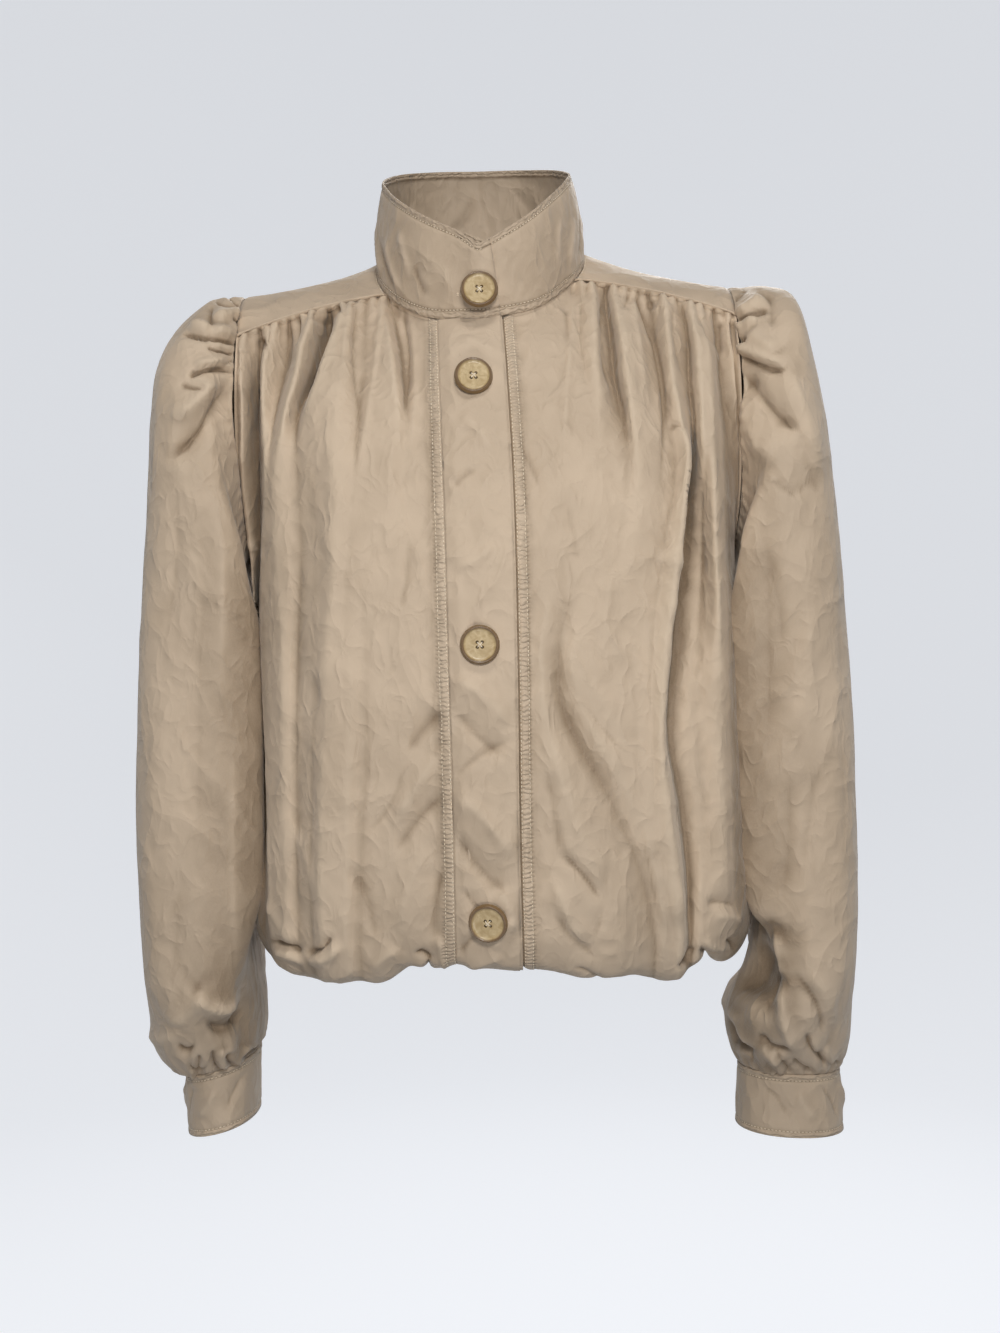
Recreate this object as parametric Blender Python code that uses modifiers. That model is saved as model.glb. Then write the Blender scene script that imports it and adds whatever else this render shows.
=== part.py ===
"""Puff-sleeve jacket with a funnel collar, worn shape, made panel by panel.

Tables and sizes are in millimetres and become metres when a mesh is made.
+X is the wearer's left, -Y the front, +Z up. The origin is the middle of the neck hole
at the height where the shoulders meet the neck, which is where the jacket is held up.
Each panel is an open surface (a grid of rows and columns) that Solidify turns into cloth.
"""

import bpy
import numpy as np
from mathutils import Euler, Vector

MM = 0.001
CLOTH = 1.4            # wall of the cloth, its own thickness and the air in its crinkles
SEAM_GAP = 0.3         # between two panels that meet at a seam
ARMHOLE_X = 191.0      # the armhole seams stand upright on either side
ARMHOLE_TOP = -34.0
ARMHOLE_BOTTOM = -236.0
ARMHOLE_FRONT = -70.0
ARMHOLE_BACK = 70.0
NECK_RADIUS = 82.0
NECK_SHIFT = -4.0      # the neck seam sits a little towards the wearer's right
NECK_TILT = 0.08       # and its front is lower on that side
LAP_RISE = 3.2         # the upper placket runs this far in front of the under placket
PLACKET_END = 1.2      # station of its lower end: a plain end, at the bottom of the hem fold
UNDER_START = 10.0     # the under placket begins this far inside the upper one's seam
BUTTON_RADIUS = 14.0
BUTTON_THICK = 4.2

# Body sections from the turned-in hem end up to the yoke seam.
# station, height, half width, front depth, back depth
BODY = (
    (0.0, -522, 160, 110, 98),
    (0.6, -541, 163, 113, 101),
    (1.0, -552, 170, 120, 108),
    (1.5, -549, 182, 130, 118),
    (2.2, -534, 192, 138, 126),
    (3.2, -508, 195, 143, 131),
    (5.0, -462, 193, 145, 132),
    (7.5, -396, 190, 146, 130),
    (11., -310, 188.5, 144, 126),
    (14., -236, 190, 139, 121),
    (16., -185, 197, 131, 117),
    (18., -140, 205, 118, 114),
    (19.5, -104, 210, 101, 111),
    (21., -70, 212, 78, 106),
)
BODY_LEAN = 0.02       # the body hangs this share of its half width towards the wearer's left
BODY_SQUARE = 2.7      # exponent of the section's outline: 2 is an ellipse
UNDERARM_STATION = 14.0
TOP_STATION = 21.0

# Bottom edge, seen from the front. across is where on the half section, drop is downwards.
# across, drop
HEM_DROP = (
    (-1.9, 2), (-1.15, 6), (-0.95, 3), (-0.86, 5), (-0.77, 6), (-0.62, 5), (-0.48, 4),
    (-0.375, -8), (-0.285, -5), (-0.20, -9), (-0.08, -8), (0.10, -4), (0.22, -2), (0.36, 4),
    (0.545, 4), (0.73, 10), (0.88, -4), (0.96, 7), (1.15, 8), (1.9, 2),
)

# Lines of the placket, seen from the front.
# height, seam of the upper placket, its free edge
PLACKET = (
    (-552, -31.0, 15.5),
    (-450, -30.5, 15.0),
    (-330, -31.5, 16.0),
    (-200, -33.0, 15.5),
    (-115, -35.5, 12.5),
    (-60, -37.5, 10.0),
)

# Neck seam and collar edge, round from the centre front. turn is in degrees.
# turn, seam front-to-back, seam height, edge out, edge front-to-back, edge height
NECK = (
    (0, -80, -71, 72, -88, -15),
    (30, -70, -64, 73, -76, 7),
    (55, -46, -44, 74, -50, 31),
    (75, -22, -25, 74, -24, 49),
    (95, 4, -6, 74, 3, 62),
    (120, 36, 9, 73, 35, 76),
    (150, 65, 18, 71, 62, 86),
    (180, 76, 21, 71, 72, 89),
)
COLLAR_SHIFT = -6.0    # the collar's edge leans with the neck seam
COLLAR_BOW = 2.5       # the band is this much fuller between its seam and its edge
COLLAR_UNDER = -16.0   # its under end is this far across,
COLLAR_LAP = 10.5      # and its upper end laps over to here

YOKE_NECK_TURN = 63.0  # where the front yoke seam meets the neck seam
YOKE_FRONT_DROP = (-75.0, -65.0)   # height of its armhole end, wearer's right and left
YOKE_BACK_HEIGHT = -82.0
YOKE_CORNER = 0.27     # share of the yoke's length that runs along one armhole
YOKE_SHOULDER_LIFT = -1.5          # the shoulder line dips this much between neck and armhole
YOKE_BACK_LIFT = 13.0  # and the back of the yoke is fuller than that
PULL_START = 15.2      # from this station up the fronts bend to their top line
LAP_WIDEN = 1.5        # the under placket and the left front reach this far past the lap's edge
FADE_START = 12.0      # folds die out this far from a panel's first side,
FADE_TOP = 9.0         # this far from its top,
FADE_END = (10.0, 12.0)            # and this far from its other side, front and back

# Folds of the fronts, seen from the front: a soft ridge (or valley) along a path.
# The path passes three points; rise is outwards, left and right are the widths of its sides.
# x1, z1, x2, z2, x3, z3, rise, left, right
FOLDS_RIGHT_FRONT = (
    (-176, -92, -181, -125, -179, -215, 5.0, 6, 9),
    (-160, -84, -162, -125, -161, -235, 6.5, 8, 9),
    (-131, -73, -148, -150, -161, -300, 9.0, 10, 11),
    (-168, -120, -170, -190, -171, -300, -8.0, 8, 8),
    (-118, -75, -125, -122, -134, -180, -7.0, 6, 8),
    (-106, -74, -115, -117, -132, -165, 5.5, 7, 8),
    (-100, -72, -108, -140, -111, -285, 5.0, 10, 9),
    (-85, -70, -89, -149, -98, -225, -4.0, 8, 9),
    (-71, -60, -69, -109, -60, -200, -5.5, 9, 10),
    (-161, -260, -162, -400, -160, -535, 5.5, 9, 15),
    (-115, -290, -118, -400, -120, -545, 4.5, 20, 16),
    (-76, -330, -80, -430, -84, -545, -4.0, 16, 16),
    (-142, -250, -140, -380, -141, -545, -4.0, 14, 14),
)
FOLDS_LEFT_FRONT = (
    (93, -55, 97, -100, 99, -220, 4.5, 8, 9),
    (112, -58, 113, -105, 112, -200, -4.5, 9, 8),
    (130, -60, 131, -102, 138, -200, 7.0, 9, 7),
    (144, -63, 147, -110, 143, -190, -5.0, 6, 6),
    (158, -66, 160, -120, 160, -300, 6.5, 9, 10),
    (175, -70, 177, -120, 175, -240, 5.0, 8, 8),
    (148, -125, 142, -251, 132, -430, -10.0, 13, 12),
    (163, -150, 162, -300, 164, -460, 4.0, 10, 12),
    (120, -160, 116, -300, 108, -500, 4.5, 13, 12),
    (132, -400, 129, -470, 132, -545, -7.0, 12, 14),
    (45, -340, 75, -430, 106, -545, 4.0, 20, 14),
    (70, -330, 96, -430, 118, -545, -3.5, 14, 14),
    (60, -70, 62, -120, 66, -260, -3.0, 12, 12),
)
# Folds of the back, seen from behind through the front: same columns.
FOLDS_BACK = (
    (-168, -95, -172, -180, -170, -330, 6.0, 9, 10),
    (-140, -92, -146, -160, -150, -300, -6.5, 9, 9),
    (-118, -90, -122, -170, -126, -400, 6.5, 11, 12),
    (-88, -90, -90, -150, -94, -330, -5.0, 11, 11),
    (-62, -90, -60, -160, -58, -380, 5.0, 13, 12),
    (-20, -90, -24, -170, -30, -300, -4.0, 14, 14),
    (15, -90, 14, -200, 8, -420, 5.0, 14, 13),
    (48, -90, 50, -150, 54, -320, -4.5, 12, 12),
    (78, -90, 82, -180, 86, -420, 6.0, 12, 12),
    (108, -90, 110, -150, 116, -300, -6.0, 10, 10),
    (134, -92, 138, -170, 142, -360, 6.5, 10, 11),
    (165, -95, 168, -180, 168, -330, 5.5, 9, 9),
    (-150, -350, -146, -440, -150, -545, 5.0, 14, 16),
    (-60, -380, -70, -460, -74, -545, -4.5, 18, 16),
    (40, -360, 46, -450, 40, -545, -4.5, 16, 18),
    (140, -350, 138, -440, 144, -545, 5.0, 16, 14),
)

# Sleeve rings. Each is an oval between an outer and an inner point, seen from the front.
# station, outer x, outer z, inner x, inner z, front, back, square
SLEEVE_RIGHT = (
    (0.0, -191.4, -34, -192.4, -236, -70, 70, 2.0),
    (1.0, -203, -34, -195.5, -241, -84, 83, 2.1),
    (2.0, -217, -41, -197, -249, -93, 91, 2.3),
    (3.0, -240, -64, -197, -260, -98, 95, 2.6),
    (4.0, -253, -92, -196, -274, -100, 95, 2.8),
    (5.0, -258, -128, -195, -294, -100, 94, 2.9),
    (6.5, -262, -190, -194, -324, -98, 91, 3.0),
    (8.5, -268, -275, -193.5, -370, -95, 88, 3.0),
    (10.5, -273, -360, -194, -421, -94, 88, 3.0),
    (12.5, -275.5, -440, -195, -474, -93, 88, 3.0),
    (14.5, -276, -515, -198, -530, -92, 87, 2.9),
    (16.0, -275, -565, -194, -572, -88, 85, 2.7),
    (17.0, -275, -596, -190, -596, -80, 83, 2.2),
    (18.0, -272, -622, -190, -614, -72, 75, 2.2),
    (19.0, -261, -640, -192, -625, -60, 63, 2.2),
    (20.0, -250.5, -645, -194.5, -631, -47, 49, 2.2),
)
SLEEVE_LEFT = (
    (0.0, 191.4, -34, 192.4, -236, -70, 70, 2.0),
    (1.0, 204, -35, 195.5, -241, -84, 83, 2.1),
    (2.0, 220, -37, 197, -249, -93, 91, 2.3),
    (3.0, 238, -47, 197, -260, -98, 95, 2.6),
    (4.0, 248, -85, 196, -274, -100, 95, 2.8),
    (5.0, 256, -128, 196, -294, -100, 94, 2.9),
    (6.5, 263, -190, 196, -324, -98, 91, 3.0),
    (8.5, 270, -275, 196.5, -370, -95, 88, 3.0),
    (10.5, 275, -360, 198, -421, -94, 88, 3.0),
    (12.5, 276.5, -440, 201, -474, -93, 88, 3.0),
    (14.5, 276, -515, 204, -530, -92, 87, 2.9),
    (16.0, 275, -565, 196, -572, -88, 85, 2.7),
    (17.0, 275.5, -600, 183, -598, -79, 83, 2.2),
    (18.0, 275, -625, 180, -618, -67, 72, 2.2),
    (19.0, 271.5, -645, 184, -638, -50, 54, 2.2),
    (20.0, 268, -654, 190, -651, -36, 39, 2.2),
)
SLEEVE_LAST = 20.0
SLEEVE_WRAP = 12.0     # the sleeve's body side laps this far round the body's front and back
WRAP_TURN = 136.0

# Folds of a sleeve, by turn round it and by station along it.
# turn 0 is the outer side, 90 the front, 180 the body side, 270 the back.
# turn1, station1, turn2, station2, turn3, station3, rise, width in degrees
SLEEVE_FOLDS_RIGHT = (
    (38, 0.2, 36, 1.6, 30, 3.6, -7, 8),
    (55, 0.2, 52, 1.6, 48, 4.6, 6, 8),
    (68, 0.2, 66, 1.6, 66, 5.5, -7, 8),
    (82, 0.2, 82, 1.8, 86, 6.5, 6, 9),
    (98, 0.2, 100, 1.8, 108, 7.5, -6, 9),
    (22, 0.2, 20, 1.4, 14, 3.4, 5, 8),
    (4, 0.2, 4, 1.4, 2, 3.0, -5, 8),
    (-14, 0.2, -14, 1.4, -12, 3.2, 5, 8),
    (-32, 0.2, -32, 1.5, -30, 3.6, -6, 8),
    (-50, 0.2, -50, 1.6, -52, 4.6, 6, 8),
    (-68, 0.2, -70, 1.6, -76, 5.2, -6, 9),
    (-88, 0.2, -92, 1.6, -100, 6.0, 5, 9),
    (62, 7, 92, 10, 118, 14, -6, 14),
    (40, 10, 72, 13, 108, 17.5, -5, 12),
    (122, 12.5, 128, 16, 118, 19.7, 6, 9),
    (140, 12.5, 144, 16, 134, 19.7, -6, 9),
    (-60, 8, -92, 11, -112, 16, -6, 14),
    (-120, 13, -112, 16, -104, 19.7, 6, 11),
)
SLEEVE_FOLDS_LEFT = (
    (36, 0.2, 34, 1.6, 28, 3.6, -6, 8),
    (54, 0.2, 52, 1.6, 50, 4.4, 7, 8),
    (70, 0.2, 70, 1.6, 72, 5.0, -7, 8),
    (86, 0.2, 88, 1.8, 92, 6.0, 6, 9),
    (104, 0.2, 106, 1.8, 112, 7.0, -6, 9),
    (18, 0.2, 16, 1.4, 12, 3.2, 5, 8),
    (0, 0.2, 0, 1.4, -2, 3.0, -5, 8),
    (-18, 0.2, -18, 1.4, -20, 3.4, 6, 8),
    (-36, 0.2, -36, 1.6, -36, 4.0, -6, 8),
    (-54, 0.2, -54, 1.6, -58, 4.8, 6, 8),
    (-72, 0.2, -74, 1.6, -80, 5.6, -5, 9),
    (-92, 0.2, -96, 1.6, -104, 6.0, 5, 9),
    (64, 6, 78, 9, 96, 13, -6, 13),
    (112, 9, 96, 13, 84, 18, 6, 10),
    (128, 9, 112, 13, 101, 18, -6, 10),
    (60, 13, 62, 16, 70, 19.6, -5, 9),
    (-64, 8, -90, 11, -112, 16, -6, 14),
    (-124, 12, -112, 16, -102, 19.7, 6, 11),
)
CUFF_GATHERS = 15
CUFF_GATHER_RISE = 4.5

# Cuffs. Their top rings are the last sleeve rings; the bottom rings are these ovals.
# outer x, outer z, inner x, inner z, front, back
CUFF_RIGHT_END = (-249, -692, -196, -681, -46, 48)
CUFF_LEFT_END = (270, -703, 187, -699, -38, 40)

# Buttons: across, height, lean to the side and lean forward in degrees.
BUTTONS = (
    (-4.9, -53.0, 0, -8),
    (-10.4, -122.0, 4, -12),
    (-9.1, -315.0, 0, 0),
    (-6.8, -510.0, -10, 8),
)

# Grid sizes. Each cell is four triangles once the cloth has a wall.
FRONT_COLUMNS = 23
BACK_COLUMNS = 31
BODY_STATIONS = (0, 0.7, 1.2, 2.0, 3.2, 5, 7.4, 9.8, 12, 14, 14.8, 15.7, 16.6, 17.5, 18.4, 19.2, 20,
                 20.6, 21)
PLACKET_COLUMNS = 3
YOKE_COLUMNS = 29
YOKE_ROWS = 5
COLLAR_COLUMNS = 37
COLLAR_ROWS = 5
SLEEVE_COLUMNS = 44
SLEEVE_STATIONS = (0, 0.6, 1.3, 2.1, 3, 4, 5.4, 7.2, 9.4, 11.8, 14.2, 16, 17.3, 18.3, 19, 19.5, 20)
CUFF_COLUMNS = 24
CUFF_ROWS = 2
BUTTON_STEPS = 20

BEIGE = (0.52, 0.43, 0.31, 1)
HORN = (0.35, 0.27, 0.15, 1)


def smooth(keys, values, at):
    """A cubic curve through the rows of a table, level with the neighbours at each row."""
    keys = np.asarray(keys, float)
    values = np.asarray(values, float)
    at = np.clip(np.asarray(at, float), keys[0], keys[-1])
    slopes = np.gradient(values, keys)
    cell = np.clip(np.searchsorted(keys, at, side="right") - 1, 0, len(keys) - 2)
    span = keys[cell + 1] - keys[cell]
    t = (at - keys[cell]) / span
    start = values[cell] * (2 * t**3 - 3 * t**2 + 1) + span * slopes[cell] * (t**3 - 2 * t**2 + t)
    end = values[cell + 1] * (3 * t**2 - 2 * t**3) + span * slopes[cell + 1] * (t**3 - t**2)
    return start + end


def column(table, index):
    """One named column of a table, as an array."""
    return np.array([row[index] for row in table], float)


def ease(x):
    """0 below 0, 1 above 1, and a soft step between."""
    x = np.clip(x, 0, 1)
    return x * x * (3 - 2 * x)


def oval(turn, square):
    """Cosine and sine of a squared oval: |c|^n + |s|^n = 1 with n = square."""
    c, s = np.cos(turn), np.sin(turn)
    power = 2.0 / square
    return np.sign(c) * np.abs(c) ** power, np.sign(s) * np.abs(s) ** power


def stack(x, y, z):
    """Points from their three coordinates."""
    return np.stack(np.broadcast_arrays(x, y, z), axis=-1).astype(float)


def armhole(turn, side):
    """Armhole seam. turn 0 is its top, 90 the front, 180 the underarm (degrees)."""
    angle = np.radians(turn)
    middle = (ARMHOLE_TOP + ARMHOLE_BOTTOM) / 2
    half = (ARMHOLE_TOP - ARMHOLE_BOTTOM) / 2
    y_middle = (ARMHOLE_FRONT + ARMHOLE_BACK) / 2
    y_half = (ARMHOLE_BACK - ARMHOLE_FRONT) / 2
    return stack(side * ARMHOLE_X, y_middle - y_half * np.sin(angle), middle + half * np.cos(angle))


def armhole_turn(height):
    """Turn at which the armhole seam passes a height, 0 at the top."""
    middle = (ARMHOLE_TOP + ARMHOLE_BOTTOM) / 2
    half = (ARMHOLE_TOP - ARMHOLE_BOTTOM) / 2
    return np.degrees(np.arccos(np.clip((height - middle) / half, -1, 1)))


def neck_seam(turn):
    """Neck seam, round from the centre front. Positive turns go to the wearer's left."""
    around = np.abs(turn)
    angle = np.radians(turn)
    keys = column(NECK, 0)
    x = NECK_SHIFT * ease(around / 60) + NECK_RADIUS * np.sin(angle)
    height = smooth(keys, column(NECK, 2), around)
    height = height + NECK_TILT * x * (1 + np.cos(angle)) / 2
    return stack(x, smooth(keys, column(NECK, 1), around), height)


def collar_edge(turn):
    """Top edge of the collar over the same turns."""
    around = np.abs(turn)
    angle = np.radians(turn)
    keys = column(NECK, 0)
    x = COLLAR_SHIFT * ease(around / 60) + smooth(keys, column(NECK, 3), around) * np.sin(angle)
    height = smooth(keys, column(NECK, 5), around) + 0.5 * NECK_TILT * x * (1 + np.cos(angle)) / 2
    return stack(x, smooth(keys, column(NECK, 4), around), height)


def body_section(station, turn, face):
    """Point of the body's section. turn 0 is the centre, 90 the side; face -1 front, 1 back."""
    keys = column(BODY, 0)
    across, out = oval(np.radians(90 - turn), BODY_SQUARE)
    half = smooth(keys, column(BODY, 2), station)
    depth = smooth(keys, column(BODY, 3 if face < 0 else 4), station)
    height = smooth(keys, column(BODY, 1), station)
    hem = smooth(column(HEM_DROP, 0), column(HEM_DROP, 1), across if face < 0 else across * 0.9 + 0.1)
    height = height - hem * (1 - ease((station - 0.8) / 3.5))
    lean = BODY_LEAN * np.abs(across) ** 3 * ease((UNDERARM_STATION - station) / 5)
    return stack(half * (across + lean), face * depth * np.abs(out), height)


def turn_at(x, half, limit=0.999):
    """Turn of the section at a distance x across, for a half width."""
    share = np.clip(np.abs(x) / half, 0, limit)
    return np.sign(x) * np.degrees(np.arcsin(share ** (BODY_SQUARE / 2)))


def outer_edge(station, side, face, top_height):
    """Side seam up to the underarm, then the armhole seam up to the yoke."""
    share = np.clip((station - UNDERARM_STATION) / (TOP_STATION - UNDERARM_STATION), 0, 1)
    turn = 180 - (180 - armhole_turn(top_height)) * share
    ring = armhole(-face * turn, side)
    seam = body_section(station, np.full_like(station, side * 90.0), face)
    above = (station > UNDERARM_STATION)[..., None]
    return np.where(above, ring, seam)


def normals(points, outwards):
    """Unit normals of a grid, turned so that they point the given way on the whole."""
    n = np.cross(np.gradient(points, axis=0), np.gradient(points, axis=1))
    n /= np.maximum(np.linalg.norm(n, axis=-1, keepdims=True), 1e-9)
    return n if (n * outwards).sum() > 0 else -n


def fold_heights(x, z, folds):
    """Height of the ridges and valleys of a fold table over points seen from the front."""
    total = np.zeros_like(x)
    for x1, z1, x2, z2, x3, z3, rise, left, right in folds:
        path = smooth((z3, z2, z1), (x3, x2, x1), z)
        off = x - path
        width = np.where(off < 0, left, right)
        start = ease((z1 + 4 - z) / (16 if z1 > -100 else 0.7 * (z1 - z2)))
        end = 1.0 if z3 < -540 else ease((z - z3) / (0.45 * (z2 - z3)))
        total += rise * np.exp(-((off / width) ** 2)) * start * end
    return total


def edge_fade(points, axis, last, distance):
    """0 at one edge of a grid and 1 past a distance from it, measured over the surface."""
    steps = np.linalg.norm(np.diff(points, axis=axis), axis=-1)
    zero = np.zeros_like(np.take(steps, [0], axis=axis))
    run = np.concatenate([zero, np.cumsum(steps, axis=axis)], axis=axis)
    if last:
        run = np.take(run, [-1], axis=axis) - run
    return ease(run / distance)


def body_panel(stations, shares, side_from, side_to, face):
    """Grid of a body panel before its folds. shares runs across it from 0 to 1.

    side_from and side_to give the edges: a function of the station for a seam at a
    distance across, or "edge" with a side for the side seam and the armhole.
    """
    keys = column(BODY, 0)
    half = smooth(keys, column(BODY, 2), stations)
    edges = []
    for which in (side_from, side_to):
        if callable(which):
            turn = turn_at(which(stations), half)
            edges.append((turn, body_section(stations, turn, face)))
            continue
        side, top_height = which
        edge = outer_edge(stations, side, face, top_height)
        depth = smooth(keys, column(BODY, 3 if face < 0 else 4), stations)
        out = np.clip(face * edge[..., 1] / depth, 0, 1)
        turn = 90 - np.degrees(np.arcsin(out ** (BODY_SQUARE / 2)))
        edges.append((side * np.where(stations > UNDERARM_STATION, turn, 90.0), edge))
    turns = edges[0][0][:, None] * (1 - shares) + edges[1][0][:, None] * shares
    grid = body_section(stations[:, None], turns, face)
    start = edges[0][1] - grid[:, 0]
    end = edges[1][1] - grid[:, -1]
    grid += start[:, None, :] * ((1 - shares) ** 3)[None, :, None]
    grid += end[:, None, :] * (shares**3)[None, :, None]
    return grid


def pull_top(grid, top, stations, start):
    """Bends the upper rows of a grid so that its last row lies on a given line."""
    weight = ease((stations - start) / (TOP_STATION - start)) ** 1.4
    return grid + weight[:, None, None] * (top - grid[-1])[None, :, :]


def front_top(x, side):
    """Top line of a front: the neck seam, then the yoke seam out to the armhole."""
    turns = np.linspace(0, 100, 400)
    neck = neck_seam(side * turns)
    seam_start = neck_seam(np.array([side * YOKE_NECK_TURN]))[0]
    drop = YOKE_FRONT_DROP[0 if side < 0 else 1]
    seam_end = armhole(armhole_turn(drop), side)
    distance = side * x
    on_neck = distance < side * seam_start[0]
    use = turns < YOKE_NECK_TURN + 6
    y = np.interp(distance, side * neck[use, 0], neck[use, 1])
    z = np.interp(distance, side * neck[use, 0], neck[use, 2])
    share = np.clip((distance - side * seam_start[0]) / (side * (seam_end[0] - seam_start[0])), 0, 1)
    seam = yoke_seam(share, seam_start, seam_end)
    return stack(x, np.where(on_neck, y, seam[..., 1]), np.where(on_neck, z, seam[..., 2]))


def yoke_seam(share, start, end):
    """Front yoke seam from the neck to the armhole, with a slight forward bow."""
    share = np.asarray(share, float)[..., None]
    bow = np.array([0.0, -7.0, 2.0]) * 4 * share * (1 - share)
    return start + (end - start) * share + bow


def placket_line(index, widen):
    """A line of the placket table as a function of the body's stations, moved across."""
    heights = column(PLACKET, 0)
    keys = column(BODY, 0)

    def line(stations):
        return smooth(heights, column(PLACKET, index), smooth(keys, column(BODY, 1), stations)) + widen

    return line


def front_panel(side, shares, stations):
    """A front from its placket seam to the side seam, with its gathers and folds."""
    inner = placket_line(1, 0) if side < 0 else placket_line(2, LAP_WIDEN)
    drop = YOKE_FRONT_DROP[0 if side < 0 else 1]
    grid = body_panel(stations, shares, inner, (side, drop), -1)
    grid = pull_top(grid, front_top(grid[-1, :, 0], side), stations, PULL_START)
    grid[-1] = front_top(grid[-1, :, 0], side)
    folds = FOLDS_RIGHT_FRONT if side < 0 else FOLDS_LEFT_FRONT
    height = fold_heights(grid[..., 0], grid[..., 2], folds)
    return add_folds(grid, height, np.array([0, -1, 0.0]), FADE_END[0])


def back_panel(shares, stations):
    """The back between its side seams, with the gathers below the yoke."""
    grid = body_panel(stations, shares, (-1, YOKE_BACK_HEIGHT), (1, YOKE_BACK_HEIGHT), 1)
    top = grid[-1].copy()
    top[:, 2] = YOKE_BACK_HEIGHT
    grid = pull_top(grid, top, stations, UNDERARM_STATION)
    height = fold_heights(grid[..., 0], grid[..., 2], FOLDS_BACK)
    return add_folds(grid, height, np.array([0, 1.0, 0]), FADE_END[1])


def add_folds(grid, height, outwards, end_fade):
    """Moves a grid along its normals by the fold heights, which die out at its seams."""
    fade = edge_fade(grid, 1, False, FADE_START) * edge_fade(grid, 1, True, end_fade)
    fade = fade * edge_fade(grid, 0, True, FADE_TOP)
    return grid + normals(grid, outwards) * (height * fade)[..., None]


def placket_strip(upper, shares, stations):
    """Upper placket, lapped over, or the under placket behind it."""
    keys = column(BODY, 0)
    heights = smooth(keys, column(BODY, 1), stations)
    half = smooth(keys, column(BODY, 2), stations)
    seam = smooth(column(PLACKET, 0), column(PLACKET, 1), heights)
    edge = smooth(column(PLACKET, 0), column(PLACKET, 2), heights)
    if upper:
        across = seam[:, None] * (1 - shares) + edge[:, None] * shares
        rise = LAP_RISE * ease(shares / 0.22)
    else:
        across = (seam[:, None] + UNDER_START) * (1 - shares) + (edge[:, None] + LAP_WIDEN) * shares
        rise = np.zeros_like(shares)
    grid = body_section(stations[:, None], turn_at(across, half[:, None]), -1)
    top = neck_seam(np.degrees(np.arcsin(grid[-1, :, 0] / NECK_RADIUS)))
    top[:, 0] = grid[-1, :, 0]
    grid = pull_top(grid, top, stations, PULL_START)
    forward = normals(grid, np.array([0, -1.0, 0]))
    forward[..., 2] = 0
    forward /= np.linalg.norm(forward, axis=-1, keepdims=True)
    return grid + forward * rise[None, :, None]


def yoke_grid(shares, rows):
    """Yoke: rows run from the neck seam out to the armholes and the back seam.

    Columns run from the wearer's right front seam, over the shoulder and round the
    back of the neck, to the left front seam.
    """
    turn = -YOKE_NECK_TURN - (360 - 2 * YOKE_NECK_TURN) * shares
    turn = (turn + 180) % 360 - 180
    inner = neck_seam(turn)
    corner = YOKE_CORNER
    outer = np.zeros_like(inner)
    for side, part in ((-1, shares <= corner), (1, shares >= 1 - corner)):
        share = (shares if side < 0 else 1 - shares)[part] / corner
        first = armhole_turn(YOKE_FRONT_DROP[0 if side < 0 else 1])
        last = -armhole_turn(YOKE_BACK_HEIGHT)
        outer[part] = armhole(first + (last - first) * share, side)
    middle = (shares > corner) & (shares < 1 - corner)
    across = (shares[middle] - corner) / (1 - 2 * corner)
    top = body_panel(np.array([TOP_STATION]), across, (-1, YOKE_BACK_HEIGHT),
                     (1, YOKE_BACK_HEIGHT), 1)[0]
    outer[middle] = top
    outer[middle, 2] = YOKE_BACK_HEIGHT
    grid = inner[None] + (outer - inner)[None] * rows[:, None, None]
    bow = 4 * rows * (1 - rows)
    back = ease((shares - 0.25) / 0.15) * ease((0.75 - shares) / 0.15)
    lift = bow[:, None] * (YOKE_SHOULDER_LIFT + YOKE_BACK_LIFT * back)[None, :]
    front = yoke_seam(rows, inner[0], outer[0])
    grid[:, 0] = front
    grid[:, -1] = yoke_seam(rows, inner[-1], outer[-1])
    lift[:, 0] = lift[:, -1] = 0
    return grid + normals(grid, np.array([0, 0.3, 1.0])) * lift[..., None]


def collar_grid(shares, rows):
    """Collar band from its left end, round the back, to the right end lapped over it."""
    lap_base = np.degrees(np.arcsin(COLLAR_LAP / NECK_RADIUS))
    under = np.degrees(np.arcsin(COLLAR_UNDER / NECK_RADIUS))
    turn = under + (360 - under + lap_base) * shares
    over = ease((turn - 330) / 30)
    wrapped = (turn + 180) % 360 - 180
    base = neck_seam(wrapped)
    edge = collar_edge(wrapped)
    grid = base[None] + (edge - base)[None] * rows[:, None, None]
    bow = 4 * rows * (1 - rows)
    outwards = grid.copy()
    outwards[..., 2] = 0
    n = normals(grid, outwards)
    lift = COLLAR_BOW * bow[:, None] + LAP_RISE * over[None, :]
    return grid + n * lift[..., None]


def sleeve_ring(table, station, turn):
    """Point of a sleeve at a station along it and a turn round it."""
    keys = column(table, 0)
    outer_x = smooth(keys, column(table, 1), station)
    outer_z = smooth(keys, column(table, 2), station)
    inner_x = smooth(keys, column(table, 3), station)
    inner_z = smooth(keys, column(table, 4), station)
    front = smooth(keys, column(table, 5), station)
    back = smooth(keys, column(table, 6), station)
    square = smooth(keys, column(table, 7), station)
    c, s = oval(np.radians(turn), square)
    x = (outer_x + inner_x) / 2 + (outer_x - inner_x) / 2 * c
    z = (outer_z + inner_z) / 2 + (outer_z - inner_z) / 2 * c
    y = (front + back) / 2 - (back - front) / 2 * s
    round_body = np.exp(-(((np.abs((turn + 180) % 360 - 180) - WRAP_TURN) / 22) ** 2))
    hold = ease((station - 3.0) / 3.5) * ease((16.5 - station) / 3)
    return stack(x - np.sign(outer_x) * SLEEVE_WRAP * round_body * hold, y, z)


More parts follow.
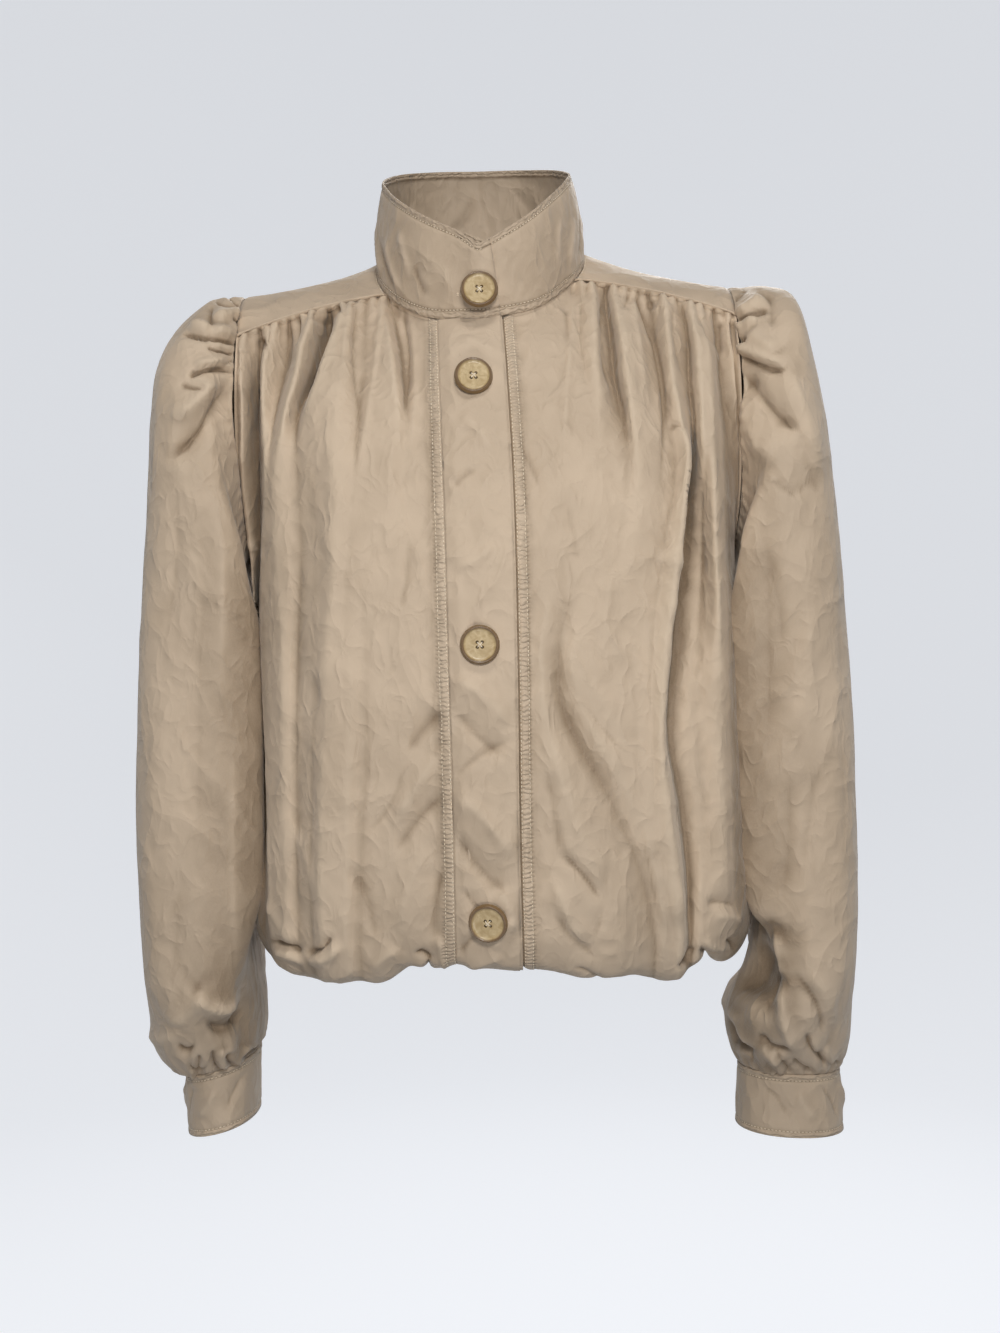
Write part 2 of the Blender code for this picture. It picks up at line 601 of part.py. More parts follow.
def sleeve_fold_heights(turn, station, folds):
    """Height of a sleeve's ridges and valleys by turn and station."""
    total = np.zeros(np.broadcast(turn, station).shape)
    for turn1, s1, turn2, s2, turn3, s3, rise, width in folds:
        path = smooth((s1, s2, s3), (turn1, turn2, turn3), station)
        off = (turn - path + 180) % 360 - 180
        run = ease((station - s1) / (0.35 * (s2 - s1))) * ease((s3 - station) / (0.5 * (s3 - s2)))
        total = total + rise * np.exp(-((off / width) ** 2)) * run
    return total


def sleeve_grid(table, folds, turns, stations):
    """A sleeve with its folds, and the gathers that the cuff holds."""
    grid = sleeve_ring(table, stations[:, None], turns[None, :])
    height = sleeve_fold_heights(turns[None, :], stations[:, None], folds)
    gather = ease((stations - 17.0) / 1.6) * ease((SLEEVE_LAST - stations) / 0.7)
    wave = np.cos(np.radians(turns * CUFF_GATHERS)) + 0.4 * np.cos(np.radians(turns * 7 + 40))
    height = height + CUFF_GATHER_RISE * gather[:, None] * wave[None, :]
    body_side = ease((np.abs((turns + 180) % 360 - 180) - 125) / 30)
    keep = 1 - 0.85 * body_side[None, :] * (stations < 16)[:, None]
    fade = ease(stations / 0.8) * ease((SLEEVE_LAST - stations) / 0.6)
    closed = np.concatenate([grid[:, -2:-1], grid, grid[:, 1:2]], axis=1)
    n = normals(closed, closed - grid.mean(axis=1, keepdims=True))[:, 1:-1]
    grid = grid + n * (height * keep * fade[:, None])[..., None]
    grid[:, -1] = grid[:, 0]
    return grid


def cuff_grid(table, end, turns, rows):
    """A cuff, from the sleeve's last ring down to its own end."""
    last = table[-1]
    bottom = (SLEEVE_LAST + 1,) + end + (2.2,)
    return sleeve_ring((last, bottom), (SLEEVE_LAST + rows)[:, None], turns[None, :])


def inset(grid, axis, last, distance):
    """Pulls one edge of a grid back by a distance along the surface, to leave the seam gap."""
    grid = np.moveaxis(grid, axis, 0)
    edge, inner = (-1, -2) if last else (0, 1)
    step = grid[inner] - grid[edge]
    length = np.linalg.norm(step, axis=-1, keepdims=True)
    grid[edge] = grid[edge] + step * (distance / np.maximum(length, distance))
    return np.moveaxis(grid, 0, axis)


def part_edges(grid, flat, top):
    """Seam gaps of a body panel: its inner side, its outer side with the armhole, its top."""
    grid = outer_gap(inset(grid, 1, False, flat), flat)
    return inset(grid, 0, True, top)


def outer_gap(grid, flat):
    """Gap along the side seam, and the wider one round the armhole."""
    above = np.array(BODY_STATIONS) > UNDERARM_STATION - 0.1
    armhole_edge = inset(grid.copy(), 1, True, 2 * SEAM_GAP)
    grid = inset(grid, 1, True, flat)
    grid[above, -1] = armhole_edge[above, -1]
    return grid


def sheet(name, grid, collection, material, closed=False, flip=False, thickness=CLOTH):
    """Makes a cloth panel: a surface over the grid, thickened evenly to both sides."""
    rows, columns = grid.shape[:2]
    if closed:
        columns -= 1
        grid = grid[:, :-1]
    index = np.arange(rows * columns).reshape(rows, columns)
    right = np.roll(index, -1, axis=1) if closed else index[:, 1:]
    left = index if closed else index[:, :-1]
    quads = np.stack([left[:-1], right[:-1], right[1:], left[1:]], axis=-1).reshape(-1, 4)
    if flip:
        quads = quads[:, ::-1]
    mesh = bpy.data.meshes.new(name)
    mesh.from_pydata((grid.reshape(-1, 3) * MM).tolist(), [], quads.tolist())
    mesh.validate()
    mesh.shade_smooth()
    obj = bpy.data.objects.new(name, mesh)
    collection.objects.link(obj)
    mesh.materials.append(material)
    wall = obj.modifiers.new("wall", "SOLIDIFY")
    wall.thickness = thickness * MM
    wall.offset = 0
    wall.use_even_offset = False
    return obj


def cloth(name):
    """Beige cloth."""
    material = bpy.data.materials.new(name)
    material.use_nodes = True
    shader = material.node_tree.nodes["Principled BSDF"]
    shader.inputs["Base Color"].default_value = BEIGE
    shader.inputs["Roughness"].default_value = 0.62
    shader.inputs["Metallic"].default_value = 0
    return material


def horn(name):
    """Horn-coloured plastic."""
    material = bpy.data.materials.new(name)
    material.use_nodes = True
    shader = material.node_tree.nodes["Principled BSDF"]
    shader.inputs["Base Color"].default_value = HORN
    shader.inputs["Roughness"].default_value = 0.35
    shader.inputs["Metallic"].default_value = 0
    return material


def button(name, row, collection):
    """A turned disc with a raised rim and a dished face, leaning with the cloth."""
    across, height, side_lean, forward_lean = row
    if height > -70:
        patch = collar_grid(np.linspace(0.9, 1, 90), np.linspace(0, 1, 60))
    else:
        patch = placket_strip(True, np.linspace(0, 1, 60), np.linspace(PLACKET_END, TOP_STATION, 400))
    patch = patch.reshape(-1, 3)
    off = np.hypot(patch[:, 0] - across, patch[:, 2] - height)
    ground = patch[np.argmin(off)]
    turn = Euler((np.radians(90 + forward_lean), 0, np.radians(side_lean)))
    facing = np.array(turn.to_matrix() @ Vector((0, 0, 1)))
    seat = ((patch[off < 0.8 * BUTTON_RADIUS] - ground) @ facing).max() + CLOTH / 2 + SEAM_GAP
    radius, thick = BUTTON_RADIUS, BUTTON_THICK
    profile = (
        (0.0, thick * 0.62),
        (radius * 0.66, thick * 0.66),
        (radius * 0.78, thick * 0.98),
        (radius * 0.90, thick),
        (radius, thick * 0.66),
        (radius * 0.96, thick * 0.28),
        (radius * 0.80, 0.0),
        (0.0, 0.0),
    )
    mesh = bpy.data.meshes.new(name)
    points = [(r * MM, 0, h * MM) for r, h in profile]
    mesh.from_pydata(points, [(i, i + 1) for i in range(len(points) - 1)], [])
    obj = bpy.data.objects.new(name, mesh)
    collection.objects.link(obj)
    mesh.materials.append(horn(name))
    screw = obj.modifiers.new("turn", "SCREW")
    screw.axis = "Z"
    screw.steps = screw.render_steps = BUTTON_STEPS
    screw.use_merge_vertices = True
    screw.merge_threshold = 0.0001
    screw.use_smooth_shade = True
    obj.rotation_euler = turn
    obj.location = (ground + facing * seat) * MM
    return obj


def build():
    """Makes every panel and button of the jacket."""
    for old in list(bpy.data.objects):
        bpy.data.objects.remove(old)
    jacket = bpy.data.collections.new("puff_sleeve_jacket")
    bpy.context.scene.collection.children.link(jacket)
    flat = SEAM_GAP / 2 + 0.03      # edge of a panel that runs on into the next one
    bent = SEAM_GAP + 0.35          # edge at a seam where the cloth turns a little
    wall = SEAM_GAP + CLOTH / 2     # edge that meets the side of the next panel
    stations = np.array(BODY_STATIONS, float)
    shares = np.linspace(0, 1, FRONT_COLUMNS)

    for name, side in (("front_right", -1), ("front_left", 1)):
        grid = front_panel(side, shares, stations)
        grid = part_edges(grid, flat, bent)
        sheet(name, grid, jacket, cloth(name), flip=side > 0)

    grid = back_panel(np.linspace(0, 1, BACK_COLUMNS), stations)
    grid = outer_gap(outer_gap(grid, flat)[:, ::-1], flat)[:, ::-1]
    grid = inset(grid, 0, True, bent)
    sheet("back", grid, jacket, cloth("back"), flip=True)

    across = np.linspace(0, 1, PLACKET_COLUMNS + 1)
    strip = stations[stations >= PLACKET_END]
    grid = placket_strip(True, across, strip)
    grid = inset(inset(grid, 1, False, flat), 0, True, wall + SEAM_GAP)
    sheet("placket_right", grid, jacket, cloth("placket_right"))
    grid = placket_strip(False, across, strip)
    grid = inset(inset(grid, 1, True, flat), 0, True, bent)
    sheet("placket_left", grid, jacket, cloth("placket_left"))

    grid = yoke_grid(np.linspace(0, 1, YOKE_COLUMNS), np.linspace(0, 1, YOKE_ROWS))
    for axis, last, distance in ((0, False, flat), (0, True, 2 * SEAM_GAP), (1, False, flat), (1, True, flat)):
        grid = inset(grid, axis, last, distance)
    sheet("yoke", grid, jacket, cloth("yoke"))

    grid = collar_grid(np.linspace(0, 1, COLLAR_COLUMNS), np.linspace(0, 1, COLLAR_ROWS))
    grid = inset(grid, 0, False, wall)
    sheet("collar", grid, jacket, cloth("collar"))

    turns = np.linspace(0, 360, SLEEVE_COLUMNS + 1)
    sleeve_stations = np.array(SLEEVE_STATIONS, float)
    sides = (
        ("right", SLEEVE_RIGHT, SLEEVE_FOLDS_RIGHT, CUFF_RIGHT_END, False),
        ("left", SLEEVE_LEFT, SLEEVE_FOLDS_LEFT, CUFF_LEFT_END, True),
    )
    for side, table, folds, end, flip in sides:
        grid = sleeve_grid(table, folds, turns, sleeve_stations)
        grid = inset(inset(grid, 0, False, flat), 0, True, bent)
        sheet("sleeve_" + side, grid, jacket, cloth("sleeve_" + side), closed=True, flip=flip)
        cuff_turns = np.linspace(0, 360, CUFF_COLUMNS + 1)
        grid = cuff_grid(table, end, cuff_turns, np.linspace(0, 1, CUFF_ROWS + 1))
        grid = inset(grid, 0, False, wall + SEAM_GAP)
        sheet("cuff_" + side, grid, jacket, cloth("cuff_" + side), closed=True, flip=flip)

    for number, row in enumerate(BUTTONS, start=1):
        button(f"button_{number}", row, jacket)


build()
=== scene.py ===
# %% [markdown]
# # A puff-sleeve jacket in crinkled cotton
#
# This notebook dresses a imported CAD model of a cropped jacket: gathered fronts under a
# smooth yoke, a stand collar, big sleeves held by cuffs, and four horn buttons. Every
# panel is a grid of points worked out with numpy, so you can read its shape as a formula,
# change one number and watch one fold move.
#
# The CAD model is the frame that everything has to fit. We load it first. The cloth that
# we make may not grow past it.

import bpy
import numpy as np
from mathutils import Euler, Matrix, Vector


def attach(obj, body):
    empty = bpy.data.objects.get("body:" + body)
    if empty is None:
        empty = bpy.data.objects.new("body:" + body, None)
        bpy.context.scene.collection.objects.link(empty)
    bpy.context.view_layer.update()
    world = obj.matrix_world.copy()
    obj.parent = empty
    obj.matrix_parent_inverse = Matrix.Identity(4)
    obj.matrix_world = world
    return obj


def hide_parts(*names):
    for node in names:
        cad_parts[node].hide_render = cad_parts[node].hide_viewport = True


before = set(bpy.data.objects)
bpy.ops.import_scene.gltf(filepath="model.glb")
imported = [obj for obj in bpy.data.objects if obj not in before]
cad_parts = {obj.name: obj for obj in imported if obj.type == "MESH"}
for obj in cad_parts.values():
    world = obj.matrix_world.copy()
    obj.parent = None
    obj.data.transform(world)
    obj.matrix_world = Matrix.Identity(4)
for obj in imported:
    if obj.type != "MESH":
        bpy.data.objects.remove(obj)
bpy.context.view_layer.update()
MM = 0.001

# %% [markdown]
# ## The camera
#
# The picture was taken from straight ahead, at the height of the jacket's middle, with
# the phone turned a little. A camera is a lens and a place: a 40.5 mm lens on a 36 mm
# sensor, 1.2 m in front. The small roll is a turn about the line of sight.

# %% Camera
LENS = 40.5                             # focal length, and the width of the sensor, in mm
SENSOR = 36.0
CAMERA_PLACE = (0.0048, -1.2, -0.331)   # in metres
CAMERA_ROLL = -1.2                      # in degrees


def add_object(name, data):
    """Puts a mesh, a light or a camera into the scene."""
    made = bpy.data.objects.new(name, data)
    bpy.context.scene.collection.objects.link(made)
    return made


camera = add_object("camera", bpy.data.cameras.new("camera"))
camera.data.lens = LENS
camera.data.sensor_width = SENSOR
camera.data.clip_start = 0.05
camera.data.clip_end = 40.0
camera.matrix_world = (Matrix.Translation(CAMERA_PLACE)
                       @ Matrix.Rotation(np.radians(90), 4, "X")
                       @ Matrix.Rotation(np.radians(CAMERA_ROLL), 4, "Z"))
bpy.context.scene.camera = camera
print("camera at", tuple(round(c, 3) for c in camera.location))

# %% [markdown]
# ## The studio
#
# A round room does for every side of the object: a pale disc that curves up into a pale
# wall, so no edge shows behind the jacket from any angle. It is one profile turned about
# the upright axis. A flat plane would be simpler, but it shows its end from the side.

# %% Pale floor and wall
FLOOR_HEIGHT = -1.42
ROOM_RADIUS = 3.6
ROOM_CORNER = 0.9
WALL_TOP = 2.6


def room_profile(steps):
    """Distance from the axis and height: a flat floor, a quarter circle, and a wall."""
    angle = np.linspace(0, np.pi / 2, steps)
    out = ROOM_RADIUS - ROOM_CORNER + ROOM_CORNER * np.sin(angle)
    up = FLOOR_HEIGHT + ROOM_CORNER * (1 - np.cos(angle))
    out = np.concatenate([[0.02], out, [ROOM_RADIUS]])
    return out, np.concatenate([[FLOOR_HEIGHT], up, [WALL_TOP]])


def smooth_mesh(name, points, faces, unit=MM):
    """A mesh with soft shading from points, in millimetres unless a unit is given, and faces."""
    mesh = bpy.data.meshes.new(name)
    mesh.from_pydata((points.reshape(-1, 3) * unit).tolist(), [], faces)
    mesh.shade_smooth()
    return mesh


def turned_surface(name, out, up, segments):
    """Carries a profile (distance out, height up) in metres round the upright axis, and closes its middle."""
    turn = np.linspace(0, 2 * np.pi, segments, endpoint=False)
    points = np.stack([out[:, None] * np.cos(turn), out[:, None] * np.sin(turn),
                       up[:, None] + 0 * turn], axis=-1)
    ids = np.arange(points.shape[0] * segments).reshape(-1, segments)
    right = np.roll(ids, -1, axis=1)
    quads = np.stack([ids[:-1], right[:-1], right[1:], ids[1:]], axis=-1).reshape(-1, 4)
    return add_object(name, smooth_mesh(name, points, quads.tolist() + [ids[0, ::-1].tolist()], 1.0))


def set_inputs(made, **inputs):
    """Sets the inputs of a node by name, with _ for a space."""
    for key, value in inputs.items():
        made.inputs[key.replace("_", " ")].default_value = value
    return made


def new_material(name):
    """A material made of nodes: itself, its node tree and its shader."""
    made = bpy.data.materials.new(name)
    made.use_nodes = True
    return made, made.node_tree, made.node_tree.nodes["Principled BSDF"]


studio = turned_surface("studio_floor", *room_profile(16), 96)
pale, _, pale_shader = new_material("pale_studio")
set_inputs(pale_shader, Base_Color=(0.40, 0.41, 0.43, 1), Roughness=0.9,
           Emission_Color=(0.86, 0.88, 0.92, 1), Emission_Strength=0.70)
studio.data.materials.append(pale)
studio.visible_shadow = False
studio.visible_diffuse = False
print("room", ROOM_RADIUS, "m in radius")

# %% [markdown]
# ### The lights
#
# The picture has soft shadows, as under wide panels in a ceiling, and large area lights
# give the same. Of those in front the strongest is above, so folds are dark underneath.
# Weaker ones stand ahead, low and at both sides, and one behind lights the back.

# %% Soft lights
# name, place, point that it faces, width, height, power in W
LIGHTS = (
    ("front_panel", (0.06, -1.1, 0.05), (0.0, 0.0, -0.38), 0.26, 0.18, 6.1),
    ("ceiling_panel", (0.12, -1.0, 1.5), (0.0, 0.0, -0.35), 0.6, 0.4, 12.0),
    ("low_panel", (0.0, -1.6, -1.05), (0.0, 0.0, -0.68), 0.5, 0.3, 6.6),
    ("left_panel", (2.3, 0.2, 0.5), (0.2, 0.0, -0.35), 1.0, 0.8, 6.0),
    ("right_panel", (-2.3, 0.2, 0.5), (-0.2, 0.0, -0.35), 1.0, 0.8, 5.5),
    ("back_panel", (0.4, 2.2, 1.2), (0.0, 0.0, -0.3), 1.4, 0.9, 40.0),
)


def soft_light(name, place, target, width, height, power):
    """A rectangular area light at a place, turned to face a point."""
    data = bpy.data.lights.new(name, "AREA")
    data.shape = "RECTANGLE"
    data.size, data.size_y, data.energy = width, height, power
    data.color = (1.0, 0.985, 0.96)
    lamp = add_object(name, data)
    lamp.visible_camera = False
    facing = (Vector(target) - Vector(place)).to_track_quat("-Z", "Y")
    lamp.matrix_world = Matrix.Translation(place) @ facing.to_matrix().to_4x4()
    return lamp


lamps = [soft_light(*row) for row in LIGHTS]
world = bpy.data.worlds.new("pale_air")
world.use_nodes = True
set_inputs(world.node_tree.nodes["Background"], Color=(0.82, 0.89, 1.0, 1), Strength=0.13)
bpy.context.scene.world = world
bpy.context.scene.view_settings.view_transform = "Standard"
print("lights:", [lamp.name for lamp in lamps])

# %% [markdown]
# ## Curves through tables
#
# A garment isn't built from boxes: its outline is a set of numbers that a pattern cutter
# would write down, such as the half width at each height. These helpers read such a table
# and give a smooth curve through it, and they do so for a whole array of places at once.

# %% Curves through tables
def smooth(keys, values, at):
    """A cubic curve through the rows of a table, level with the neighbours at each row."""
    keys = np.asarray(keys, float)
    values = np.asarray(values, float)
    at = np.clip(np.asarray(at, float), keys[0], keys[-1])
    slopes = np.gradient(values, keys)
    cell = np.clip(np.searchsorted(keys, at, side="right") - 1, 0, len(keys) - 2)
    span = keys[cell + 1] - keys[cell]
    t = (at - keys[cell]) / span
    start = values[cell] * (2 * t**3 - 3 * t**2 + 1) + span * slopes[cell] * (t**3 - 2 * t**2 + t)
    end = values[cell + 1] * (3 * t**2 - 2 * t**3) + span * slopes[cell + 1] * (t**3 - t**2)
    return start + end


def column(table, index):
    """One column of a table, as an array."""
    return np.array([row[index] for row in table], float)


def look_up(table, index, at):
    """The curve through one column of a table, at places along its first column."""
    return smooth(column(table, 0), column(table, index), at)


def ease(x):
    """0 below 0, 1 above 1, and a soft step between."""
    x = np.clip(x, 0, 1)
    return x * x * (3 - 2 * x)


def oval(turn, square):
    """Cosine and sine of a squared oval: |c|^n + |s|^n = 1 with n = square."""
    c, s = np.cos(turn), np.sin(turn)
    power = 2.0 / square
    return np.sign(c) * np.abs(c) ** power, np.sign(s) * np.abs(s) ** power


def stack(x, y, z):
    """Points from their three coordinates."""
    return np.stack(np.broadcast_arrays(x, y, z), axis=-1).astype(float)


print("helpers ready")

# %% [markdown]
# ## Sizes of the jacket
#
# All sizes are in millimetres, with the wearer's left at +X, the front at -Y and up at +Z.
# The origin is the middle of the neck hole. The body is a stack of squared ovals, each with
# its height, half width and depths; the lowest rows turn inwards, because the hem is held
# in and the cloth above it blouses over.

# %% Sizes of the body
CLOTH = 1.4            # wall of the cloth, its own thickness and the air in its crinkles
SEAM_GAP = 0.3         # between two panels that meet at a seam
ARMHOLE_X = 191.0      # the armhole seams stand upright on either side
ARMHOLE_TOP = -34.0
ARMHOLE_BOTTOM = -236.0
ARMHOLE_DEPTH = 70.0   # and reach this far forwards and backwards
NECK_RADIUS = 82.0
NECK_SHIFT = -4.0      # the neck seam sits a little towards the wearer's right
NECK_TILT = 0.08       # and its front is lower on that side
LAP_RISE = 3.2         # the upper placket runs this far in front of the under placket
PLACKET_END = 1.2      # station of its lower end: a plain end, at the bottom of the hem fold
UNDER_START = 10.0     # the under placket begins this far inside the upper one's seam
BUTTON_RADIUS = 14.0
BUTTON_THICK = 4.2

# Body sections from the turned-in hem end up to the yoke seam.
# station, height, half width, front depth, back depth
BODY = (
    (0.0, -522, 160, 110, 98),
    (0.6, -541, 163, 113, 101),
    (1.0, -552, 170, 120, 108),
    (1.5, -549, 182, 130, 118),
    (2.2, -534, 192, 138, 126),
    (3.2, -508, 195, 143, 131),
    (5.0, -462, 193, 145, 132),
    (7.5, -396, 190, 146, 130),
    (11., -310, 188.5, 144, 126),
    (14., -236, 190, 139, 121),
    (16., -185, 197, 131, 117),
    (18., -140, 205, 118, 114),
    (19.5, -104, 210, 101, 111),
    (21., -70, 212, 78, 106),
)
BODY_LEAN = 0.02       # the body hangs this share of its half width towards the wearer's left
BODY_SQUARE = 2.7      # exponent of the section's outline: 2 is an ellipse
UNDERARM_STATION = 14.0
TOP_STATION = 21.0

# Bottom edge, seen from the front. across is where on the half section, drop is downwards.
# across, drop
HEM_DROP = (
    (-1.9, 2), (-1.15, 6), (-0.95, 3), (-0.86, 5), (-0.77, 6), (-0.62, 5), (-0.48, 4),
    (-0.375, -8), (-0.285, -5), (-0.20, -9), (-0.08, -8), (0.10, -4), (0.22, -2), (0.36, 4),
    (0.545, 4), (0.73, 10), (0.88, -4), (0.96, 7), (1.15, 8), (1.9, 2),
)

# Lines of the placket, seen from the front.
# height, seam of the upper placket, its free edge
PLACKET = (
    (-552, -31.0, 15.5),
    (-450, -30.5, 15.0),
    (-330, -31.5, 16.0),
    (-200, -33.0, 15.5),
    (-115, -35.5, 12.5),
    (-60, -37.5, 10.0),
)

# Neck seam and collar edge, round from the centre front. turn is in degrees.
# turn, seam front-to-back, seam height, edge out, edge front-to-back, edge height
NECK = (
    (0, -80, -71, 72, -88, -15),
    (30, -70, -64, 73, -76, 7),
    (55, -46, -44, 74, -50, 31),
    (75, -22, -25, 74, -24, 49),
    (95, 4, -6, 74, 3, 62),
    (120, 36, 9, 73, 35, 76),
    (150, 65, 18, 71, 62, 86),
    (180, 76, 21, 71, 72, 89),
)
COLLAR_SHIFT = -6.0    # the collar's edge leans with the neck seam
COLLAR_BOW = 2.5       # the band is this much fuller between its seam and its edge
COLLAR_UNDER = -16.0   # its under end is this far across,
COLLAR_LAP = 10.5      # and its upper end laps over to here

YOKE_NECK_TURN = 63.0  # where the front yoke seam meets the neck seam
YOKE_FRONT_DROP = {-1: -75.0, 1: -65.0}     # height of its armhole end, wearer's right and left
YOKE_BACK_HEIGHT = -82.0
YOKE_CORNER = 0.27     # share of the yoke's length that runs along one armhole
YOKE_SHOULDER_LIFT = -1.5              # the shoulder line dips this much between neck and armhole
YOKE_BACK_LIFT = 13.0  # and the back of the yoke is fuller than that
PULL_START = 15.2      # from this station up the fronts bend to their top line
LAP_WIDEN = 1.5        # the under placket and the left front reach this far past the lap's edge

# The ways that pieces face.
AHEAD = np.array([0, -1.0, 0])
BEHIND = np.array([0, 1.0, 0])
OVER_SHOULDER = np.array([0, 0.3, 1.0])     # up, and a little back
LEVEL = np.array([1.0, 1.0, 0.0])           # times a point: out from the upright axis

print("body rows:", len(BODY), "neck rows:", len(NECK))

# %% [markdown]
# ## Seams and sections
#
# The armhole is an upright oval ring, and the neck is a ring that tilts forwards. The body's
# section is a squared oval: between a circle and a rectangle, as a torso is.

# %% Seam lines and body sections
ARMHOLE_MIDDLE = (ARMHOLE_TOP + ARMHOLE_BOTTOM) / 2
ARMHOLE_HALF = (ARMHOLE_TOP - ARMHOLE_BOTTOM) / 2


def armhole(turn, side):
    """Armhole seam. turn 0 is its top, 90 the front, 180 the underarm (degrees)."""
    angle = np.radians(turn)
    height = ARMHOLE_MIDDLE + ARMHOLE_HALF * np.cos(angle)
    return stack(side * ARMHOLE_X, -ARMHOLE_DEPTH * np.sin(angle), height)


def armhole_turn(height):
    """Turn at which the armhole seam passes a height, 0 at the top."""
    return np.degrees(np.arccos(np.clip((height - ARMHOLE_MIDDLE) / ARMHOLE_HALF, -1, 1)))


def neck_seam(turn):
    """Neck seam, round from the centre front. Positive turns go to the wearer's left."""
    around = np.abs(turn)
    angle = np.radians(turn)
    x = NECK_SHIFT * ease(around / 60) + NECK_RADIUS * np.sin(angle)
    height = look_up(NECK, 2, around) + NECK_TILT * x * (1 + np.cos(angle)) / 2
    return stack(x, look_up(NECK, 1, around), height)


def collar_edge(turn):
    """Top edge of the collar over the same turns."""
    around = np.abs(turn)
    angle = np.radians(turn)
    x = COLLAR_SHIFT * ease(around / 60) + look_up(NECK, 3, around) * np.sin(angle)
    height = look_up(NECK, 5, around) + 0.5 * NECK_TILT * x * (1 + np.cos(angle)) / 2
    return stack(x, look_up(NECK, 4, around), height)


def body_section(station, turn, face):
    """Point of the body's section. turn 0 is the centre, 90 the side; face -1 front, 1 back."""
    across, out = oval(np.radians(90 - turn), BODY_SQUARE)
    half = look_up(BODY, 2, station)
    depth = look_up(BODY, 3 if face < 0 else 4, station)
    hem = look_up(HEM_DROP, 1, across if face < 0 else across * 0.9 + 0.1)
    height = look_up(BODY, 1, station) - hem * (1 - ease((station - 0.8) / 3.5))
    lean = BODY_LEAN * np.abs(across) ** 3 * ease((UNDERARM_STATION - station) / 5)
    return stack(half * (across + lean), face * depth * np.abs(out), height)


def turn_at(x, half):
    """Turn of the section at a distance x across, for a half width."""
    share = np.clip(np.abs(x) / half, 0, 0.999)
    return np.sign(x) * np.degrees(np.arcsin(share ** (BODY_SQUARE / 2)))


def outer_edge(station, side, face, top_height):
    """Side seam up to the underarm, then the armhole seam up to the yoke."""
    share = np.clip((station - UNDERARM_STATION) / (TOP_STATION - UNDERARM_STATION), 0, 1)
    turn = 180 - (180 - armhole_turn(top_height)) * share
    ring = armhole(-face * turn, side)
    seam = body_section(station, np.full_like(station, side * 90.0), face)
    above = (station > UNDERARM_STATION)[..., None]
    return np.where(above, ring, seam)


def yoke_seam(share, start, end):
    """Front yoke seam from the neck to the armhole, with a slight forward bow."""
    share = np.asarray(share, float)[..., None]
    bow = np.array([0.0, -7.0, 2.0]) * 4 * share * (1 - share)
    return start + (end - start) * share + bow


def placket_line(index, widen):
    """A line of the placket table as a function of the body's stations, moved across."""
    return lambda stations: look_up(PLACKET, index, look_up(BODY, 1, stations)) + widen


print("armhole spans", ARMHOLE_BOTTOM, "to", ARMHOLE_TOP, "mm")

# %% [markdown]
# ## Panels as grids
#
# A panel is a grid of points. It runs between two seams, so we take the body's section
# between two turns and then push the ends so that they lie exactly on the seams, with a
# cubic weight that dies out quickly away from each edge. The top is pulled onto the neck
# and yoke seams in the same way.

# %% Panels between seams
def normals(points, outwards):
    """Unit normals of a grid, turned so that they point the given way on the whole."""
    n = np.cross(np.gradient(points, axis=0), np.gradient(points, axis=1))
    n /= np.maximum(np.linalg.norm(n, axis=-1, keepdims=True), 1e-9)
    return n if (n * outwards).sum() > 0 else -n


def body_panel(stations, shares, side_from, side_to, face):
    """Grid of a body panel before its folds. shares runs across it from 0 to 1.

    side_from and side_to give the edges: a function of the station for a seam at a
    distance across, or a side and a top height for the side seam and the armhole.
    """
    edges = []
    for which in (side_from, side_to):
        if callable(which):
            turn = turn_at(which(stations), look_up(BODY, 2, stations))
            edges.append((turn, body_section(stations, turn, face)))
            continue
        side, top_height = which
        edge = outer_edge(stations, side, face, top_height)
        depth = look_up(BODY, 3 if face < 0 else 4, stations)
        out = np.clip(face * edge[..., 1] / depth, 0, 1)
        turn = 90 - np.degrees(np.arcsin(out ** (BODY_SQUARE / 2)))
        edges.append((side * np.where(stations > UNDERARM_STATION, turn, 90.0), edge))
    turns = edges[0][0][:, None] * (1 - shares) + edges[1][0][:, None] * shares
    grid = body_section(stations[:, None], turns, face)
    start = edges[0][1] - grid[:, 0]
    end = edges[1][1] - grid[:, -1]
    grid += start[:, None, :] * ((1 - shares) ** 3)[None, :, None]
    grid += end[:, None, :] * (shares**3)[None, :, None]
    return grid


def pull_top(grid, top, stations, start):
    """Bends the upper rows of a grid so that its last row lies on a given line."""
    weight = ease((stations - start) / (TOP_STATION - start)) ** 1.4
    return grid + weight[:, None, None] * (top - grid[-1])[None, :, :]


def front_top(x, side):
    """Top line of a front: the neck seam, then the yoke seam out to the armhole."""
    turns = np.linspace(0, 100, 400)
    neck = neck_seam(side * turns)
    seam_start = neck_seam(np.array([side * YOKE_NECK_TURN]))[0]
    seam_end = armhole(armhole_turn(YOKE_FRONT_DROP[side]), side)
    distance = side * x
    on_neck = distance < side * seam_start[0]
    use = turns < YOKE_NECK_TURN + 6
    y = np.interp(distance, side * neck[use, 0], neck[use, 1])
    z = np.interp(distance, side * neck[use, 0], neck[use, 2])
    share = np.clip((distance - side * seam_start[0]) / (side * (seam_end[0] - seam_start[0])), 0, 1)
    seam = yoke_seam(share, seam_start, seam_end)
    return stack(x, np.where(on_neck, y, seam[..., 1]), np.where(on_neck, z, seam[..., 2]))


print("side seams up to station", UNDERARM_STATION, "of", TOP_STATION)
